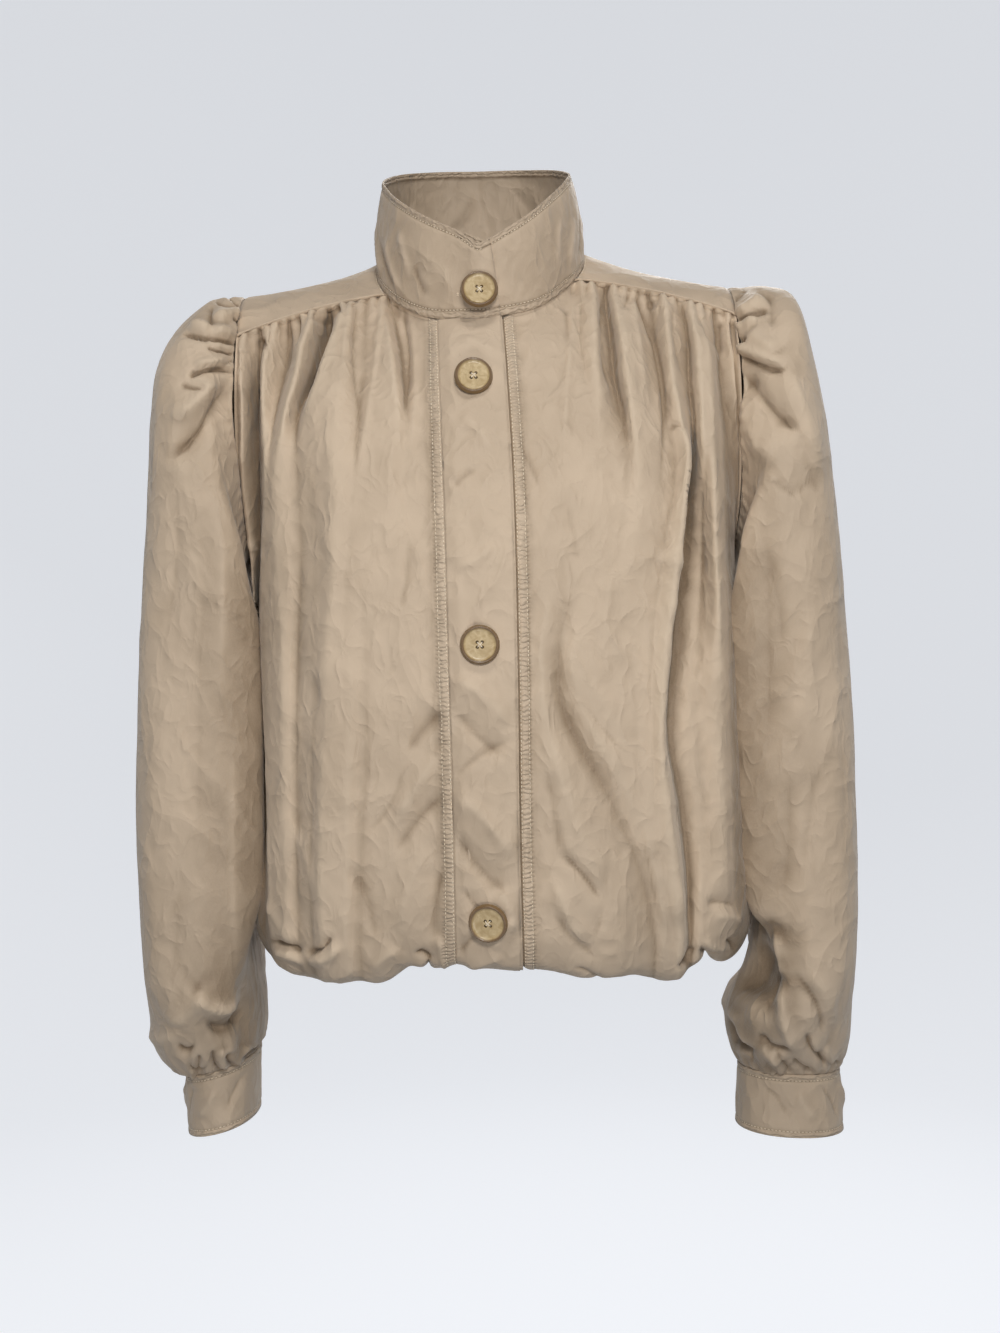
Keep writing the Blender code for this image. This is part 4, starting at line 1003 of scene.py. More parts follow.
def crinkled_cotton(name):
    """Beige cloth: two tints, painted shade in troughs and a painted highlight on ridges, folded noise and a
    weave as bumps, and sheen.
    """
    made, tree, shader = new_material(name)
    place = tree.nodes.new("ShaderNodeTexCoord")
    slant = node(tree, "ShaderNodeMapping", Rotation=(0.1, 0.28, 0.2), Scale=(1.0, 1.0, 0.7))
    link(tree, place, "Object", slant, "Vector")

    tints = node(tree, "ShaderNodeTexNoise", Scale=14.0, Detail=3.0, Roughness=0.55)
    link(tree, place, "Object", tints, "Vector")
    patches = ramp(tree, tints, "Fac", 0.36, 0.64)
    beige = mix_colour(tree, patches, "Result", BEIGE_DEEP, BEIGE_LIT)
    # painted shade: the deeper a point lies below its neighbourhood, the more it is mixed towards dark brown
    depth = kept_value(tree, "painted_fold_shade")
    troughs = ramp(tree, depth, "Fac", 0.3, 4.4, last=0.85)
    toned = mix_colour(tree, troughs, "Result", beige, PAINTED_SHADE_BROWN)
    # painted highlight: points that stand above their neighbourhood are mixed towards a paler beige
    ridges = ramp(tree, depth, "Fac", -0.3, -4.0, last=0.35)
    painted_highlight = mix_colour(tree, ridges, "Result", toned, BEIGE_PAINTED_HIGHLIGHT)
    flecks = node(tree, "ShaderNodeTexNoise", Scale=900.0, Detail=2.0, Roughness=0.6)
    link(tree, slant, "Vector", flecks, "Vector")
    grains = ramp(tree, flecks, "Fac", 0.35, 0.7, last=0.12)
    speckled = mix_colour(tree, grains, "Result", painted_highlight, BEIGE_LIT)
    link(tree, speckled, 2, shader, "Base Color")

    crinkles = None
    for size, height in ((24.0, 0.0025), (70.0, 0.0011)):
        creases = node(tree, "ShaderNodeTexNoise", Scale=size, Detail=2.0, Roughness=0.5, Distortion=0.5)
        creases.noise_type = "RIDGED_MULTIFRACTAL"
        creases.inputs["Offset"].default_value = 1.0
        link(tree, slant, "Vector", creases, "Vector")
        crinkles = bump_over(tree, creases, "Fac", 0.5, height, crinkles)

    ripple = bands(tree, place, "Y", Scale=90.0, Distortion=5.0, Detail=1.0, Detail_Scale=2.0)
    pulled = product(tree, ripple, kept_value(tree, "pucker"))
    tuck = bump_over(tree, pulled, "Value", 0.9, 0.0009, crinkles)
    warp = bands(tree, place, "X", Scale=610.0, Distortion=1.2)
    weft = bands(tree, place, "Y", Scale=560.0, Distortion=1.2)
    weave = bump_over(tree, product(tree, warp, weft), "Value", 0.30, 0.00012, tuck)
    link(tree, weave, "Normal", shader, "Normal")

    dull = ramp(tree, tints, "Fac", 0.3, 0.7, 0.54, 0.68)
    link(tree, dull, "Result", shader, "Roughness")
    set_inputs(shader, Sheen_Weight=0.22, Sheen_Roughness=0.45, Sheen_Tint=(1.0, 0.93, 0.84, 1),
               Specular_IOR_Level=0.32)
    return made


cotton = crinkled_cotton("crinkled_cotton")
print("cloth material with", len(cotton.node_tree.nodes), "nodes")

# %% [markdown]
# ### From a grid to a piece
#
# One function turns every grid into a panel: faces, a map in metres for the weave, and the
# depth of each point, for painted shade down in the folds. The Solidify modifier gives
# the panel its wall, half of it to each side, so a seam shows the thickness of the cloth.

# %% From a grid to a piece of cloth
# how much each depth below the blurred neighbourhood counts towards the painted shade, and over how many
# steps that neighbourhood is blurred
HOLLOWS = ((0.45, 120), (2.0, 10))


def blurred(field, steps, closed):
    """The mean over nearby points: each step averages a point with its four neighbours."""
    for _ in range(steps):
        wide = np.pad(field, ((1, 1), (0, 0)), mode="edge")
        wide = np.pad(wide, ((0, 0), (1, 1)), mode="wrap" if closed else "edge")
        field = (4 * field + wide[2:, 1:-1] + wide[:-2, 1:-1] + wide[1:-1, 2:] + wide[1:-1, :-2]) / 8
    return field


def keep_value(mesh, key, values):
    """Keeps one number at each point of a mesh, for its material to read."""
    kept = mesh.attributes.new(key, "FLOAT", "POINT")
    kept.data.foreach_set("value", values.astype(np.float32).ravel())


def grid_mesh(name, grid, outwards, depth, closed=False, pucker=None, shade=0.0):
    """One quad for each cell, faces outwards, with a UV map in metres.

    Two values are kept at each point: painted shade, from how far it lies below the cloth around it, which
    is the mean of its neighbourhood less its own height, and how much stitches pucker it.
    shade adds more painted shade to the first, for cloth that lies deep between two pieces.
    """
    u, v = measure(grid)
    used = grid[:, :-1] if closed else grid
    ids = np.arange(used.shape[0] * used.shape[1]).reshape(used.shape[:2])
    full = np.concatenate([ids, ids[:, :1]], axis=1) if closed else ids
    corner = (slice(None, -1), slice(1, None))
    order = ((0, 0), (0, 1), (1, 1), (1, 0))
    facing = np.cross(np.gradient(grid, axis=1), np.gradient(grid, axis=0))
    if (facing * outwards).sum() < 0:
        order = order[::-1]
    quads = np.stack([full[corner[r], corner[c]] for r, c in order], axis=-1).reshape(-1, 4)
    uv = np.stack([u, v], axis=-1) * MM
    loops = np.stack([uv[corner[r], corner[c]] for r, c in order], axis=2).reshape(-1, 2)
    mesh = smooth_mesh(name, used, quads.tolist())
    layer = mesh.uv_layers.new(name="cloth")
    layer.data.foreach_set("uv", loops.astype(np.float32).ravel())
    painted_shade_field = sum(weight * (blurred(depth, steps, closed) - depth) for weight, steps in HOLLOWS) + shade
    pucker = np.zeros_like(depth) if pucker is None else pucker
    for key, field in (("painted_fold_shade", painted_shade_field), ("pucker", pucker)):
        keep_value(mesh, key, field[:, :-1] if closed else field)
    return mesh


def cloth_piece(stands_for, grid, outwards, depth,
                closed=False, pucker=None, shade=0.0):
    """A panel with a wall of its own, which replaces its CAD node."""
    name = "cloth_" + stands_for
    made = add_object(name, grid_mesh(name, grid, outwards, depth, closed, pucker, shade))
    made.data.materials.append(cotton)
    wall = made.modifiers.new("wall", "SOLIDIFY")
    wall.thickness = CLOTH * MM
    wall.offset = 0
    wall.use_even_offset = False
    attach(made, "root")
    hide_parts(stands_for)
    print(name, "quads:", len(made.data.polygons))


print("wall of the cloth:", CLOTH, "mm")

# %% [markdown]
# ## Stitches
#
# A topstitch is a row of short loops of thread that pull the cloth down. Each is a small
# bead: a tube of four sides that swells in the middle. We follow a line over a panel at a
# fixed distance from its edge, step along it by the length of a stitch, and lay one bead
# at each step. All the beads of a row are one mesh, made at once by broadcasting.

# %% Rows of stitches
STITCH_PITCH = 2.9
STITCH_LENGTH = 2.2
THREAD = 0.74
BEAD_SIDES = 4
BEAD_RINGS = np.array([0.0, 0.18, 0.5, 0.82, 1.0])
BEAD_WIDTHS = np.array([0.25, 0.9, 1.0, 0.9, 0.25])
thread_lines = []


def line_over(grid, axis, last, distance, outwards):
    """Points and normals along a line that keeps its distance from one edge of a panel."""
    run = from_edge(grid, axis, last)
    n = normals(grid, outwards)
    both = np.concatenate([grid, n], axis=-1)
    if axis == 0:
        run, both = run.T, np.swapaxes(both, 0, 1)
    if last:
        run, both = run[:, ::-1], both[:, ::-1]
    place = np.argmax(run >= distance, axis=1)
    place = np.maximum(place, 1)
    rows = np.arange(len(run))
    before, after = run[rows, place - 1], run[rows, place]
    share = ((distance - before) / np.maximum(after - before, 1e-9))[:, None]
    found = both[rows, place - 1] * (1 - share) + both[rows, place] * share
    return found[:, :3], found[:, 3:]


def stitch_row(points, normal, first=0.0, last=1.0):
    """Lays beads along a line, from a first to a last share of it, on the outer face of the cloth."""
    run = np.concatenate([[0], np.cumsum(np.linalg.norm(np.diff(points, axis=0), axis=1))])
    starts = np.arange(first * run[-1] + 1.0, last * run[-1] - STITCH_LENGTH, STITCH_PITCH)
    at = starts[:, None] + STITCH_LENGTH * BEAD_RINGS
    middle = np.stack([np.interp(at, run, points[:, k]) for k in range(3)], axis=-1)
    up = np.stack([np.interp(at, run, normal[:, k]) for k in range(3)], axis=-1)
    up /= np.linalg.norm(up, axis=-1, keepdims=True)
    ahead = np.gradient(middle, axis=1)
    side = np.cross(ahead, up)
    side /= np.linalg.norm(side, axis=-1, keepdims=True)
    sink = 0.30 * (1 - BEAD_WIDTHS)[None, :, None]
    middle = middle + up * (CLOTH / 2 + 0.05 - sink)
    angle = np.linspace(0, 2 * np.pi, BEAD_SIDES, endpoint=False)
    width = (THREAD / 2 * BEAD_WIDTHS)[None, :, None, None]
    ring = side[:, :, None] * np.cos(angle)[:, None] + up[:, :, None] * np.sin(angle)[:, None]
    thread_lines.append(middle[:, :, None] + ring * width)


def tube_mesh(name, tubes):
    """One mesh for a number of tubes: quads between neighbouring rings, and a face on each end."""
    ids = np.arange(np.prod(tubes.shape[:3])).reshape(tubes.shape[:3])
    turned = np.roll(ids, -1, axis=2)
    quads = np.stack([ids[:, :-1], ids[:, 1:], turned[:, 1:], turned[:, :-1]], axis=-1).reshape(-1, 4)
    caps = np.concatenate([ids[:, 0, :], ids[:, -1, ::-1]])
    return smooth_mesh(name, tubes, quads.tolist() + caps.tolist())


print("beads of", STITCH_LENGTH, "mm every", STITCH_PITCH, "mm")

# %% [markdown]
# ## The fronts
#
# Each front runs from the placket seam to the side seam and the armhole. The folds are
# added over the panel along its normals and die out at its seams. Under the yoke they
# keep most of their height, because the gathers are pushed up tight against that seam,
# and there a fine wave adds the small tucks between the large folds.

# %% Fronts
FRONT_GRID = (276, 136)         # rows and columns
FOUR_STATIONS = np.array([0.0, 8.0, 9.0, TOP_STATION])      # row 1 of a panel built on these is its middle
STITCH_ROWS = {-1: (1.3, 7.2), 1: (2.8, 8.6)}   # how far the two rows run from the placket seam
# painted shade: the strip of each front beside its sleeve, and the painted shadow of the upper placket on the
# left front
VALLEY_START = {-1: 164.0, 1: 170.0}            # from here out it lies deep beside the sleeve,
VALLEY_SHADE = {-1: 4.3, 1: 3.6}                # and is darker by this
LAP_SHADE = 9.0                 # the left front is darkest beside the upper placket
# place 1, place 2, bend, rise, width, seen from the front: small creases of the lower fronts
SMALL_CREASES = {
    -1: (
        (-58, -240, -66, -292, 2, -1.6, 4), (-88, -262, -78, -330, -3, 1.4, 5),
        (-130, -330, -122, -392, 2, -1.8, 6),
        (-150, -440, -128, -500, 3, 2.2, 7), (-64, -400, -92, -448, 4, -1.6, 5),
        (-50, -455, -70, -520, -4, 1.8, 6),
        (-104, -470, -88, -528, 3, -2.2, 6), (-172, -500, -150, -534, 2, 2.7, 6),
        (-170, -531, -142, -536, 2, -8, 2.6), (-166, -537, -140, -544, 2, 4.5, 4),
        (-140, -536, -118, -520, -3, -5.5, 2.6),
        (-140, -543, -112, -526, -3, 4.5, 4), (-60, -533, -48, -541, 2, -8, 2.2),
        (-50, -540, -56, -556, 1, -7, 2.4),
        (-44, -520, -40, -548, 2, 4.7, 4), (-92, -548, -70, -530, 3, 4.3, 6),
        (-36, -360, -62, -392, -2, -3.2, 6),
        (-36, -420, -72, -462, -3, -3.6, 6), (-36, -390, -70, -440, -3, 2.9, 7),
        (-38, -470, -46, -525, -2, -2.9, 4),
    ),
    1: (
        (132, -158, 146, -160, 1, -2.7, 2.5), (52, -210, 62, -262, 2, -1.4, 5),
        (88, -262, 80, -322, -3, 1.6, 5),
        (30, -330, 42, -392, 3, -1.8, 5), (40, -420, 62, -480, -3, 2, 6), (78, -468, 66, -530, 3, -2.2, 6),
        (112, -470, 128, -520, 3, 2, 7), (40, -505, 70, -540, -3, -2.9, 5),
        (148, -534, 170, -543, -3, 5, 4), (146, -538, 166, -549, -3, -7, 2.6),
        (142, -538, 128, -552, 2, -5.6, 2.6),
        (168, -536, 178, -552, 2, -5, 3),
        (44, -462, 74, -500, 2, -4.7, 4.5), (40, -478, 62, -530, -3, 4, 6), (52, -546, 74, -560, 2, -3, 3),
        (34, -400, 44, -470, 2, -2.5, 5), (150, -506, 176, -512, 2, -3.2, 4),
        (156, -516, 182, -526, 2, 2.9, 5),
        (46, -335, 96, -398, -2, -2.4, 5.5), (118, -255, 138, -262, 2, 2.5, 6),
    ),
}


def front_surface(side, shares, stations):
    """A front without its folds: the body's section between two seams, pulled to its top line."""
    inner = placket_line(1, 0) if side < 0 else placket_line(2, LAP_WIDEN)
    grid = body_panel(stations, shares, inner, (side, YOKE_FRONT_DROP[side]), -1)
    grid = pull_top(grid, front_top(grid[-1, :, 0], side), stations, PULL_START)
    grid[-1] = front_top(grid[-1, :, 0], side)
    return grid


def front_folds(side, grid):
    """How far a front stands forward between its traced paths, dying out at its seams."""
    inner, outer, hem, top = from_edges(grid)
    folds = between_paths(grid[..., 0], grid[..., 2], RIGHT_FRONT_LINES if side < 0 else LEFT_FRONT_LINES)
    folds = (FOLD_GAIN * folds - FOLD_SINK) * ease(inner / 12) * ease(outer / 4)
    return folds * (0.6 + 0.4 * ease(top / 14)) * ease(top / 2.5) * ease(hem / 22)


def yoke_tucks(x, top, pitch, seed):
    """Small tucks under the yoke: a wave with steep sides, from -1 to 1, which fades downwards."""
    wave = gather_wave(x, pitch, seed)
    fade = 0.65 * np.exp(-top / 6) + 0.35 * np.exp(-top / 20)
    return np.sign(wave) * np.abs(wave) ** 0.7 * fade * ease((top + 0.6) / 2)


def front_relief(side, grid):
    """Heights over a front: small tucks under the yoke, creases, crumple and stitched puckers."""
    x, z = grid[..., 0], grid[..., 2]
    inner, outer, _, top = from_edges(grid)
    small = fold_relief(x, z, RIGHT_FRONT_TUCKS if side < 0 else LEFT_FRONT_TUCKS)
    small *= ease(inner / 14) * ease(outer / 4) * ease((top + 1.2) / 4)
    tucks = 2.6 * yoke_tucks(x, top, 7.4, 11 + side) * ease((np.abs(x) - 52) / 25)
    creases = soft_creases(x, z, SMALL_CREASES[side])
    wrinkled = crumple(*measure(grid), 20 + side) * ease(inner / 9) * ease(outer / 7) * ease(top / 14)
    near, far = STITCH_ROWS[side]
    band = np.exp(-(((inner - (near + far) / 2) / 3.5) ** 4))
    rows = groove(inner - near, 0.28, 0.7) + groove(inner - far, 0.32, 0.8)
    seams = groove(top, 1.3, 1.4) + groove(outer, 0.4, 1.0) + groove(inner, 0.5, 0.8)
    seams += groove(inner, 2.4, 3.0) * (side > 0)
    return small + tucks + creases + 0.60 * wrinkled + rows + seams, 0.9 * band


def make_front(node_name, side):
    """Builds one front and the two rows of stitches beside its placket seam."""
    stations = body_stations(0, 50.0, -1, FRONT_GRID[0], 0.45)
    shares = np.linspace(0, 1, 400)
    shares = even_steps(shares, front_surface(side, shares, FOUR_STATIONS)[1], FRONT_GRID[1])
    grid = front_surface(side, shares, stations)
    folds = front_folds(side, grid)
    relief, pucker = front_relief(side, grid)
    grid = raised(grid + AHEAD * folds[..., None], AHEAD, relief)
    grid = inset(grid, 1, False, -SEAM_GAP)
    beside = np.abs(grid[..., 0]) - VALLEY_START[side]
    inner = from_edge(grid, 1, False)
    # painted shade beside the sleeve and along the stitch rows, and the painted shadow of the lap on the left
    # front
    shade = VALLEY_SHADE[side] * ease(beside / 8) * ease((-90 - grid[..., 2]) / 40)
    shade = shade + sum(painted_stitch_shade(inner - row) for row in STITCH_ROWS[side])
    shade = shade + LAP_SHADE * (side > 0) * np.exp(-((inner / 2.1) ** 4))
    cloth_piece(node_name, grid, AHEAD, relief + folds,
                pucker=pucker, shade=shade)
    for distance in STITCH_ROWS[side]:
        stitch_row(*line_over(grid, 1, False, distance, AHEAD), first=0.04)


make_front("front_right", -1)
make_front("front_left", 1)

# %% [markdown]
# ## The back
#
# The back is one panel with gathers below the yoke on its whole width. They are made like
# those of the fronts, since both hang from the same yoke.

# %% Back
BACK_GRID = (112, 220)


def back_surface(shares, stations):
    """The back between its side seams, with its top pulled level."""
    grid = body_panel(stations, shares, (-1, YOKE_BACK_HEIGHT), (1, YOKE_BACK_HEIGHT), 1)
    top = grid[-1].copy()
    top[:, 2] = YOKE_BACK_HEIGHT
    return pull_top(grid, top, stations, UNDERARM_STATION)


def back_relief(grid):
    """Heights over the back: folds, tucks under the yoke, crumple and seams."""
    x, z = grid[..., 0], grid[..., 2]
    first, last, _, top = from_edges(grid)
    sides = np.minimum(first, last)
    folds = 1.2 * fold_relief(x, z, BACK_RELIEF) * ease(sides / 6) * ease((top + 1.2) / 4)
    tucks = 2.4 * yoke_tucks(x, top, 8.4, 17) * ease(sides / 8)
    wrinkled = 0.7 * crumple(*measure(grid), 60) * ease(sides / 7) * ease(top / 14)
    return folds + tucks + wrinkled + groove(top, 1.6, 1.7) + groove(sides, 1.2, 1.8)


shares = np.linspace(0, 1, 900)
shares = even_steps(shares, back_surface(shares, FOUR_STATIONS)[1], BACK_GRID[1])
back_grid = back_surface(shares, body_stations(0, 50.0, 1, BACK_GRID[0], 0.35))
relief = back_relief(back_grid)
back_grid = raised(back_grid, BEHIND, relief)
cloth_piece("back", back_grid, BEHIND, relief)

# %% [markdown]
# ## The plackets
#
# Two upright bands close the front: the upper one laps over the under one and carries the
# buttons. The upper one stands a few millimetres forward, and its free edge is puckered.

# %% Plackets
PLACKET_GRID = (300, 26)
PLACKET_CREASE_GAIN = 1.6       # the creases are this much deeper than in their table
# place 1, place 2, bend, rise, width, seen from the front
PLACKET_CREASES = (
    (-20, -150, 2, -176, 2, 1.4, 4), (-26, -205, -8, -190, 2, -1.2, 4), (-24, -262, 4, -244, -2, 1.2, 5),
    (-14, -296, -4, -330, 1, -1.4, 3), (-28, -338, 12, -372, 3, 2.4, 8), (-28, -360, 6, -395, -2, -2.0, 6),
    (-30, -408, 12, -382, 2, -1.6, 5), (-30, -418, 14, -468, 3, 3.0, 9), (-30, -448, 8, -492, -3, -3.0, 7),
    (-26, -486, -8, -512, 1, -1.8, 4), (-2, -486, 14, -520, 2, 2.2, 6), (-4, -532, 12, -508, 2, 1.8, 4),
    (-30, -535, -10, -518, 2, -2.2, 4), (-24, -545, 4, -536, 1, 2.0, 4), (-20, -88, 6, -104, 2, 1.4, 4),
)


def placket_strip(upper, shares, stations):
    """Upper placket, lapped over, or the under placket behind it."""
    seam = placket_line(1, 0 if upper else UNDER_START)(stations)[:, None]
    edge = placket_line(2, 0 if upper else LAP_WIDEN)(stations)[:, None]
    across = seam * (1 - shares) + edge * shares
    rise = LAP_RISE * ease(shares / 0.22) * upper
    grid = body_section(stations[:, None], turn_at(across, look_up(BODY, 2, stations)[:, None]), -1)
    top = neck_seam(np.degrees(np.arcsin(grid[-1, :, 0] / NECK_RADIUS)))
    top[:, 0] = grid[-1, :, 0]
    grid = pull_top(grid, top, stations, PULL_START)
    forward = normals(grid, AHEAD)
    forward[..., 2] = 0
    forward /= np.linalg.norm(forward, axis=-1, keepdims=True)
    return grid + forward * rise[None, :, None]


def make_placket(node_name, upper):
    """Builds one placket, with small puckers along its free edge."""
    stations = body_stations(PLACKET_END, 8.0, -1, PLACKET_GRID[0])
    grid = placket_strip(upper, np.linspace(0, 1, PLACKET_GRID[1]), stations)
    u, v = measure(grid)
    first, last, _, top = from_edges(grid)
    relief = PLACKET_CREASE_GAIN * soft_creases(grid[..., 0], grid[..., 2], PLACKET_CREASES)
    relief += 0.5 * crumple(u, v, 80 + upper)
    relief *= ease(first / 4) * ease(last / 4)
    relief += 0.12 * gather_wave(v, 5.0, 5) * np.exp(-((last / 4) ** 2))
    relief += groove(first, 0.6, 0.9) + groove(top, 0.8, 1.6) * (not upper)
    grid = raised(grid, AHEAD, relief)
    grid = inset(inset(grid, 1, not upper, 0.2), 0, True, 0.9)
    cloth_piece(node_name, grid, AHEAD, relief)


make_placket("placket_right", True)
make_placket("placket_left", False)

# %% [markdown]
# ## The yoke
#
# A flat, double piece over the shoulders that everything gathered hangs from. Its front
# edges lie over the gathers and stand a little proud, which draws the fine shadow that
# makes the seam read.

# %% Yoke
YOKE_GRID = (64, 92, 34)        # columns beside an armhole, columns across the back, rows
LIP = 1.3                       # the yoke's edges reach this far over the gathers


def yoke_grid(shares, rows):
    """Yoke: rows run from the neck seam out to the armholes and the back seam.

    Columns run from the wearer's right front seam, over the shoulder and round the
    back of the neck, to the left front seam.
    """
    turn = -YOKE_NECK_TURN - (360 - 2 * YOKE_NECK_TURN) * shares
    turn = (turn + 180) % 360 - 180
    inner = neck_seam(turn)
    outer = np.zeros_like(inner)
    for side, part in ((-1, shares <= YOKE_CORNER), (1, shares >= 1 - YOKE_CORNER)):
        share = (shares if side < 0 else 1 - shares)[part] / YOKE_CORNER
        first = armhole_turn(YOKE_FRONT_DROP[side])
        last = -armhole_turn(YOKE_BACK_HEIGHT)
        outer[part] = armhole(first + (last - first) * share, side)
    middle = (shares > YOKE_CORNER) & (shares < 1 - YOKE_CORNER)
    across = (shares[middle] - YOKE_CORNER) / (1 - 2 * YOKE_CORNER)
    ends = ((-1, YOKE_BACK_HEIGHT), (1, YOKE_BACK_HEIGHT))
    outer[middle] = body_panel(np.array([TOP_STATION]), across, *ends, 1)[0]
    outer[middle, 2] = YOKE_BACK_HEIGHT
    grid = inner[None] + (outer - inner)[None] * rows[:, None, None]
    bow = 4 * rows * (1 - rows)
    back = ease((shares - 0.25) / 0.15) * ease((0.75 - shares) / 0.15)
    lift = bow[:, None] * (YOKE_SHOULDER_LIFT + YOKE_BACK_LIFT * back)[None, :]
    for end in (0, -1):
        grid[:, end] = yoke_seam(rows, inner[end], outer[end])
        lift[:, end] = 0
    return grid + normals(grid, OVER_SHOULDER) * lift[..., None]


corner_shares = np.linspace(0, YOKE_CORNER, YOKE_GRID[0])
back_shares = np.linspace(YOKE_CORNER, 1 - YOKE_CORNER, YOKE_GRID[1])[1:-1]
yoke_shares = np.concatenate([corner_shares, back_shares, 1 - corner_shares[::-1]])
yoke_points = yoke_grid(yoke_shares, np.linspace(0, 1, YOKE_GRID[2]))
first, last, neck, outer = from_edges(yoke_points)
front = np.minimum(first, last)
on_back = ((yoke_shares > YOKE_CORNER) & (yoke_shares < 1 - YOKE_CORNER))[None, :]
relief = 0.30 * crumple(*measure(yoke_points), 90) * ease(front / 6) * ease(outer / 6)
relief += 0.9 * np.exp(-((front / 3.5) ** 2)) + 0.9 * np.exp(-((outer / 3.5) ** 2)) * on_back
relief += groove(outer, 1.0, 1.6) * ~on_back + groove(neck, 0.8, 1.5)
yoke_points = raised(yoke_points, OVER_SHOULDER, relief)
yoke_points = inset(inset(yoke_points, 1, False, -LIP), 1, True, -LIP)
reach = inset(yoke_points.copy(), 0, True, -LIP)
yoke_points[-1] = np.where(on_back[0][:, None], reach[-1], yoke_points[-1])
cloth_piece("yoke", yoke_points, OVER_SHOULDER, relief)
stitch_row(*line_over(yoke_points, 0, False, 1.6, OVER_SHOULDER), first=0.01, last=0.99)

# %% [markdown]
# ## The collar
#
# A band that stands up round the neck and laps over itself in front. Stitched along both
# edges and stiffened, it keeps a few slanting wrinkles near its button. Its lap leans back
# a little and dips at the corner, and one end of the buttonhole shows beside the button.

# %% Collar
COLLAR_GRID = (250, 46)
COLLAR_CREASE_GAIN = 2.4        # the creases are this much deeper than in their table
COLLAR_STITCHES = (6.5, 5.0)    # the stitched lines run this far from its base and from its top
BUTTONHOLE = (-24.0, -8.0)      # across, from and to,
BUTTONHOLE_SIDES = (17.4, 18.6)         # and the sides of its slit, over the neck seam
LAP_SLANT = 6.5                 # the lap's end leans back by this much at its top,
LAP_DIP = 3.0                   # and its corner dips, so the under end shows behind it
# place 1, place 2 along and up the band from its middle, bend, rise, width
COLLAR_CREASES = (
    (206, 10, 176, 40, 3, 0.9, 4), (196, 8, 160, 34, 3, -0.9, 4), (214, 22, 196, 52, -2, 0.8, 4),
    (168, 12, 140, 40, 4, 0.8, 5), (150, 16, 118, 44, 3, -0.7, 5), (232, 14, 218, 34, 2, -0.8, 3),
    (-180, 14, -158, 42, 3, 0.8, 5), (-160, 12, -134, 38, -3, -0.8, 5), (-200, 20, -186, 50, 2, 0.7, 4),
    (-120, 16, -96, 48, 3, 0.7, 6), (90, 14, 62, 46, 3, 0.7, 6), (30, 18, 6, 52, 3, -0.6, 6),
    (-50, 14, -30, 50, 3, 0.6, 6),
)


def collar_grid(shares, rows):
    """Collar band from its left end, round the back, to the right end lapped over it."""
    lap_base = np.degrees(np.arcsin(COLLAR_LAP / NECK_RADIUS))
    under = np.degrees(np.arcsin(COLLAR_UNDER / NECK_RADIUS))
    turn = under + (360 - under + lap_base) * shares
    over = ease((turn - 330) / 30)
    wrapped = (turn + 180) % 360 - 180
    base = neck_seam(wrapped)
    grid = base[None] + (collar_edge(wrapped) - base)[None] * rows[:, None, None]
    bow = 4 * rows * (1 - rows)
    lift = COLLAR_BOW * bow[:, None] + LAP_RISE * over[None, :]
    grid = grid + normals(grid, grid * LEVEL) * lift[..., None]
    slant = ease((turn - 340) / (20 + lap_base))[None, :] * rows[:, None]
    return grid - np.array([LAP_SLANT, 0, LAP_DIP]) * slant[..., None]


collar_points = collar_grid(np.linspace(0, 1, COLLAR_GRID[0]), packed(COLLAR_GRID[1]))
away = collar_points * LEVEL
u, v = measure(collar_points)
first, last, base, top = from_edges(collar_points)
ends = np.minimum(first, last)
at_base, at_top = base - COLLAR_STITCHES[0], top - COLLAR_STITCHES[1]       # from the stitched lines
relief = COLLAR_CREASE_GAIN * soft_creases(u, v, COLLAR_CREASES) + 0.5 * crumple(u, v, 100)
relief = relief * ease(base / 8) * ease(top / 7) * ease(ends / 5)
relief += 0.40 * gather_wave(u, 6.0, 101) * np.exp(-(((base - 3) / 3.4) ** 2))
relief += 0.30 * gather_wave(u, 6.5, 102) * np.exp(-(((top - 2.5) / 3.0) ** 2))
relief += groove(at_base, 0.75, 1.1) + groove(at_top, 0.75, 1.1)
collar_points = raised(collar_points, away, relief)
collar_points = inset(collar_points, 0, False, SEAM_GAP)
# painted shade: the whole collar a little darker, more so at its sides, and along its stitched lines
shade = 0.8 + 1.5 * np.abs(collar_points[..., 0] / NECK_RADIUS) ** 1.5
shade += painted_stitch_shade(at_base) + painted_stitch_shade(at_top)
pucker = 0.9 * (np.exp(-(((base - 3.2) / 3.2) ** 4)) + np.exp(-(((top - 2.4) / 2.6) ** 4)))
cloth_piece("collar", collar_points, away, relief,
            pucker=pucker, shade=shade)
for far_edge, distance in zip((False, True), COLLAR_STITCHES):
    stitch_row(*line_over(collar_points, 0, far_edge, distance, away), first=0.012, last=0.988)
for distance in BUTTONHOLE_SIDES:
    points, normal = line_over(collar_points, 0, False, distance, away)
    beside = (points[:, 0] > BUTTONHOLE[0]) & (points[:, 0] < BUTTONHOLE[1])
    beside &= (points[:, 1] < 0) & (np.arange(len(points)) > len(points) / 2)   # the upper end, in front
    stitch_row(points[beside], normal[beside])

# %% [markdown]
# ## The sleeves
#
# A puff sleeve is cut far wider than the armhole and the cuff, and gathered into both.
# Its rings start as the armhole's oval and swell into a squared one. We step round each
# ring by even lengths, not by even turns, with more columns on the side that faces you.

# %% Sleeve shape
SLEEVE_GRID = (170, 220)
FRONT_BIAS = 0.52               # how much closer the columns are in front


FINE_TURNS = np.linspace(-180, 180, 721)


